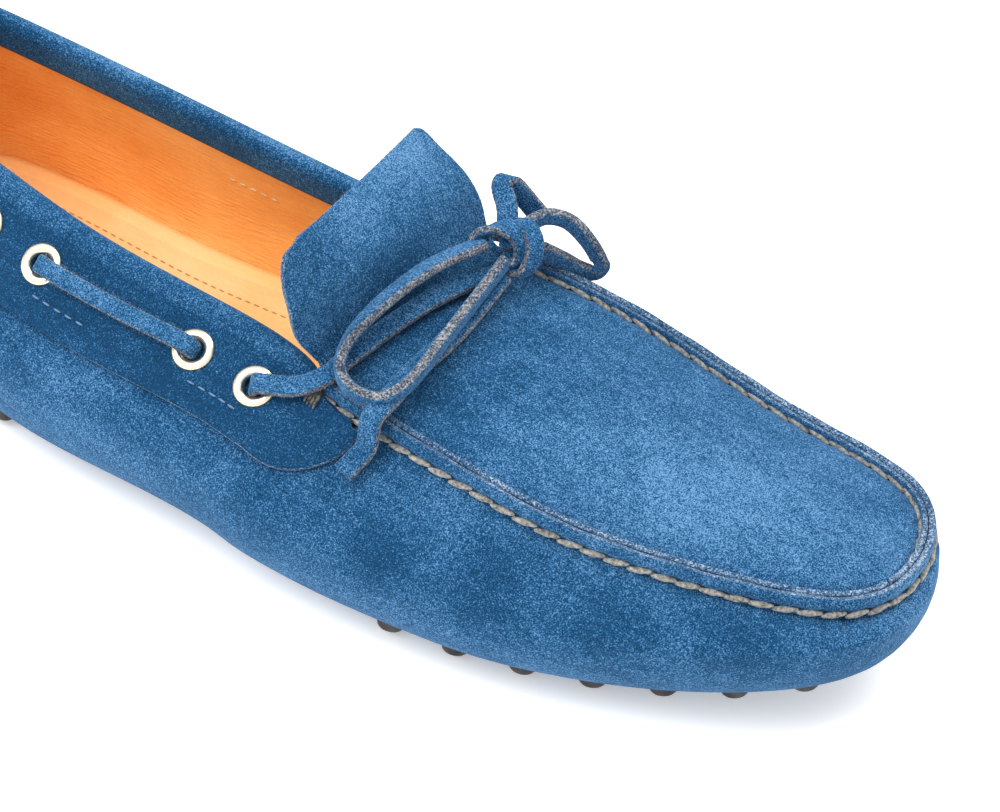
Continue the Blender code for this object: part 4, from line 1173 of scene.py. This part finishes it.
def out_of_bore(place, towards):
    """Points and normals from inside an eyelet's bore, bending over towards a direction."""
    centre, normal, _ = eyelet_frame(place)
    run = unit(towards - normal * np.dot(towards, normal))
    points = [centre - normal * BAND_THICKNESS * 0.8, centre + normal * BORE_ENTRY]
    normals = [-run, -run]
    for turn in (50, 90):
        a = radians(turn)
        points.append(centre + normal * (BORE_ENTRY + LACE_BEND * sin(a)) + run * LACE_BEND * (1 - cos(a)))
        normals.append(normal * sin(a) - run * cos(a))
    return points, normals


BAR_LIFTS = ((0.16, OVER_FLANGE + GAP), (0.5, ON_BAND + GAP), (0.84, OVER_FLANGE + 2 * GAP))
bar_ends = [pair for places in PLACES for pair in (places[1:3], places[3:5])]
for number, (start, end) in enumerate(bar_ends, 1):
    onwards = eyelet_frame(end)[0] - eyelet_frame(start)[0]
    from_start, from_end = out_of_bore(start, onwards), out_of_bore(end, -onwards)
    middle = [eyelet_frame(start + (end - start) * share, lift) for share, lift in BAR_LIFTS]
    points = from_start[0] + [part[0] for part in middle] + from_end[0][::-1]
    normals = from_start[1] + [part[1] for part in middle] + from_end[1][::-1]
    bar, _ = lace_strip(f"lace_strip_{number}", points, normals, width=4.4 * MM)
    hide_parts(f"lace_bar_{number}")

CROSSING_PLACE = THROAT + 0.10
ON_SIDE = SEAM_GAP + GAP + BAND_THICKNESS + LACE_THICKNESS / 2
CROSSING_STEPS = (
    # place in front of the throat, share across the apron, lift in mm
    (0.09, 0.14, 3.6),
    (0.10, 0.34, 2.9),
    (0.12, 0.54, 2.7),
    (0.15, 0.72, 2.7),
    (0.15, 0.90, 3.2),
)


def over_seam(place):
    """Points and normals up the band and over the start of the raised seam."""
    back = along_rim(place, -5.5 * MM if place < TOE else 5.5 * MM)
    normal = skin_at(back, 1.0)[1]
    outwards = -inwards_at([place])[0]
    low = on_skin(back, 1.0 * MM, ON_SIDE + 1.2 * MM)
    edge = ridge_top([place], -0.2 * MM, RIDGE_HEIGHT + 3.0 * MM)[0]
    inside = ridge_top([place], 4.4 * MM, RIDGE_HEIGHT + 2.4 * MM)[0]
    return [low, edge, inside], [normal + UP * 0.5, outwards * 0.5 + UP, UP]


def on_apron(place, share, lift):
    """A point above the apron and the apron's normal there."""
    across = apron_point([place], share + 0.02)[0] - apron_point([place], share - 0.02)[0]
    run = apron_point([place + 0.02], share)[0] - apron_point([place - 0.02], share)[0]
    normal = unit(np.cross(run, across))
    return apron_point([place], share)[0] + normal * lift, normal


outer_rim, inner_rim = over_seam(CROSSING_PLACE), over_seam(other_side(CROSSING_PLACE))
start = out_of_bore(PLACES[0][0], outer_rim[0][0] - eyelet_frame(PLACES[0][0])[0])
finish = out_of_bore(PLACES[1][0], inner_rim[0][0] - eyelet_frame(PLACES[1][0])[0])
over = [on_apron(THROAT + place, share, lift * MM) for place, share, lift in CROSSING_STEPS]
points = start[0] + outer_rim[0] + [item[0] for item in over] + inner_rim[0][::-1] + finish[0][::-1]
normals = start[1] + outer_rim[1] + [item[1] for item in over] + inner_rim[1][::-1] + finish[1][::-1]
crossing, _ = lace_strip("lace_crossing_strip", points, normals)
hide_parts("lace_crossing")

# Bow
# Two loops and two cut ends of the same lace, held by one turn of it. Steps are counted from the
# knot's centre in mm.
KNOT = on_apron(THROAT + 0.17, 0.86, 8.6 * MM)[0]
NEAR_LOOP = (
    # along, across, up
    (-5.6, -4.0, 1.3),
    (-10.6, -18.3, 1.5),
    (-14.5, -35.0, -1.5),
    (-16.4, -43.5, -6.6),
    (-14.2, -49.3, -9.6),
    (-9.0, -51.9, -11.0),
    (-2.8, -51.2, -10.8),
    (0.8, -46.5, -8.6),
    (1.6, -30.8, -4.4),
    (1.6, -6.0, 0.6),
)
FAR_LOOP = (
    # along, across, up
    (0.2, 5.4, 3.2),
    (3.2, 9.4, 4.8),
    (7.2, 12.6, 3.4),
    (11.8, 14.9, -1.6),
    (14.8, 16.1, -6.6),
    (15.2, 16.9, -9.4),
    (13.6, 16.5, -11.4),
    (10.6, 14.6, -10.4),
    (7.4, 11.0, -6.8),
    (4.6, 5.6, -1.8),
)
NEAR_END = (
    # along, across, up
    (1.4, -6.0, -3.4),
    (0.4, -25.5, -8.4),
    (-1.6, -37.5, -10.8),
    (-1.4, -48.5, -11.4),
    (-1.8, -55.2, -12.6),
)
FAR_END = (
    # along, across, up
    (-3.0, 3.0, 2.8),
    (-5.2, 5.8, 5.8),
    (-8.2, 8.0, 9.4),
    (-8.0, 9.6, 10.2),
    (-6.2, 11.2, 7.6),
    (-3.4, 12.8, 3.6),
    (0.2, 15.0, -1.6),
)
TO_VIEWER, UP_FOLD, BEHIND = (0.32, -0.66, 0.67), (-0.29, 0.095, 0.88), (-0.61, 0.755, 0.21)
FAR_END_FACES = (TO_VIEWER, TO_VIEWER, TO_VIEWER, TO_VIEWER, UP_FOLD, BEHIND, BEHIND, BEHIND)
KNOT_TURN = (
    # along, across, up: the turn that holds the bow
    (-7.0, -3.4, -1.6),
    (-6.8, -2.6, 2.4),
    (-4.2, -0.8, 4.6),
    (-0.6, 0.4, 4.8),
    (2.4, 0.6, 2.6),
    (3.2, -0.4, -1.4),
    (1.4, -1.6, -3.2),
)
KNOT_TUCK = (
    # along, across, up: the lace coming round under the turn
    (-1.4, 3.6, 4.2),
    (1.6, 3.4, 5.0),
    (4.6, 2.0, 3.4),
    (5.6, 0.2, -0.6),
    (4.4, -1.6, -3.8),
    (2.0, -2.2, -4.6),
)


def from_knot(steps):
    return [KNOT + np.array(step) * MM for step in steps]


LOOP_PLANE, KNOT_PLANE = (0.15, -0.35, 1.0), (0.45, 0.85, 0.0)
LOOP_TWIST = (1.3, 1.5, 1.1, 0.35)
LOOP_THICKNESS, NEAR_END_WIDTH, FAR_END_WIDTH = 2.6 * MM, 5.2 * MM, 5.0 * MM


def loop_normals(points, plane=LOOP_PLANE):
    """Normals of a loop that stands on its edge: away from the middle of the loop."""
    points = np.array(points)
    away_from = points - (points.max(0) + points.min(0)) / 2
    crossed = np.cross(np.gradient(points, axis=0), np.array(plane))
    facing = np.sign(np.sum(crossed * away_from, axis=1))
    return list(crossed * facing[:, None] / np.linalg.norm(crossed, axis=1)[:, None])


for name, steps in (("near", NEAR_LOOP), ("far", FAR_LOOP)):
    points = from_knot(steps)
    normals = loop_normals(points)
    if name == "near":
        for i, share in enumerate(LOOP_TWIST):
            normals[i] = normals[i] + np.array(LOOP_PLANE) * share
    loop, path = lace_strip(f"lace_loop_{name}", points, normals, thickness=LOOP_THICKNESS)
    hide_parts(f"bow_loop_{name}")

END_RESTS = ((5.490, 3.4), (5.465, 7.2), (5.430, 11.8))
points = from_knot(NEAR_END)
normals = [UP, UP, UP, UP - np.array([0, 0.15, 0]), (UP - np.array([0, 1.1, 0])) / 1.5]
for place, drop in END_RESTS:
    points.append(on_skin(place, drop * MM, ON_SIDE + 0.3 * MM))
    normals.append(skin_at(place, 0.85)[1])
near_end, path = lace_strip("lace_end_near", points, normals, width=NEAR_END_WIDTH)
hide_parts("bow_end_near")

points = from_knot(((0, 0, 0),) + FAR_END)
far_end, path = lace_strip("lace_end_far", points, FAR_END_FACES, width=FAR_END_WIDTH)
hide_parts("bow_end_far")

points = from_knot(KNOT_TURN)
turn, _ = lace_strip("knot_turn", points, loop_normals(points, KNOT_PLANE), width=5.0 * MM)
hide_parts("bow_knot")
points = from_knot(KNOT_TUCK)
lace_strip("knot_tuck", points, loop_normals(points, KNOT_PLANE), width=4.4 * MM)

# Loose fibres
# Suede frays where it is cut: short fibres stand out along the raw edges of the tongue, the seam,
# the band and the lace.
fuzz = suede(
    "loose fibres", Dark=(0.05, 0.11, 0.20, 1), Mid=(0.16, 0.27, 0.42, 1), Light=(0.42, 0.52, 0.64, 1)
)
FIBRE_LENGTH, FIBRE_RADIUS = 0.75 * MM, 0.032 * MM
fibre_shape = bmesh.new()
bmesh.ops.create_cone(
    fibre_shape,
    cap_ends=True,
    segments=3,
    radius1=FIBRE_RADIUS,
    radius2=FIBRE_RADIUS * 0.3,
    depth=FIBRE_LENGTH,
)
bmesh.ops.rotate(fibre_shape, cent=(0, 0, 0), matrix=ALONG_X, verts=fibre_shape.verts)
one_fibre = as_mesh("one fibre", fibre_shape)


def frayed(line, outwards, per_mm):
    """Places of fibres along a line, pointing roughly outwards from it."""
    line, outwards = np.asarray(line, float), np.asarray(outwards, float)
    run = run_along(line)
    found = []
    for at in chance.uniform(0, run[-1], int(run[-1] / MM * per_mm)):
        point = read_at(at, run, line)
        out = unit(unit(read_at(at, run, outwards)) + chance.normal(0, 0.45, 3))
        found.append((point + out * FIBRE_LENGTH * 0.3, out, np.cross(out, chance.normal(0, 1, 3))))
    return found


fibres = []
tongue = tongue_rows(42)
for edge, inside in ((tongue[:, 0], tongue[:, 3]), (tongue[:, -1], tongue[:, -4]), (tongue[0], tongue[2])):
    fibres += frayed(edge, edge - inside, 4.0)
for inset in (0.2 * MM, SUEDE_THICKNESS - 0.2 * MM, APRON_EDGE - 0.2 * MM):
    top = ridge_top(seam_places, inset, RIDGE_HEIGHT)
    fibres += frayed(top, np.tile(UP, (len(top), 1)), 1.8)
lower_edge = band_points[:, 0]
fibres += frayed(lower_edge, lower_edge - band_points[:, 2], 1.5)
for path, faces in frayed_laces:
    sides = unit(np.cross(faces, np.gradient(path, axis=0)))
    for side in (-1, 1):
        fibres += frayed(path + sides * LACE_WIDTH * 0.47 * side, sides * side, 4.0)
sewn("loose_fibres", one_fibre, fibres, fuzz)
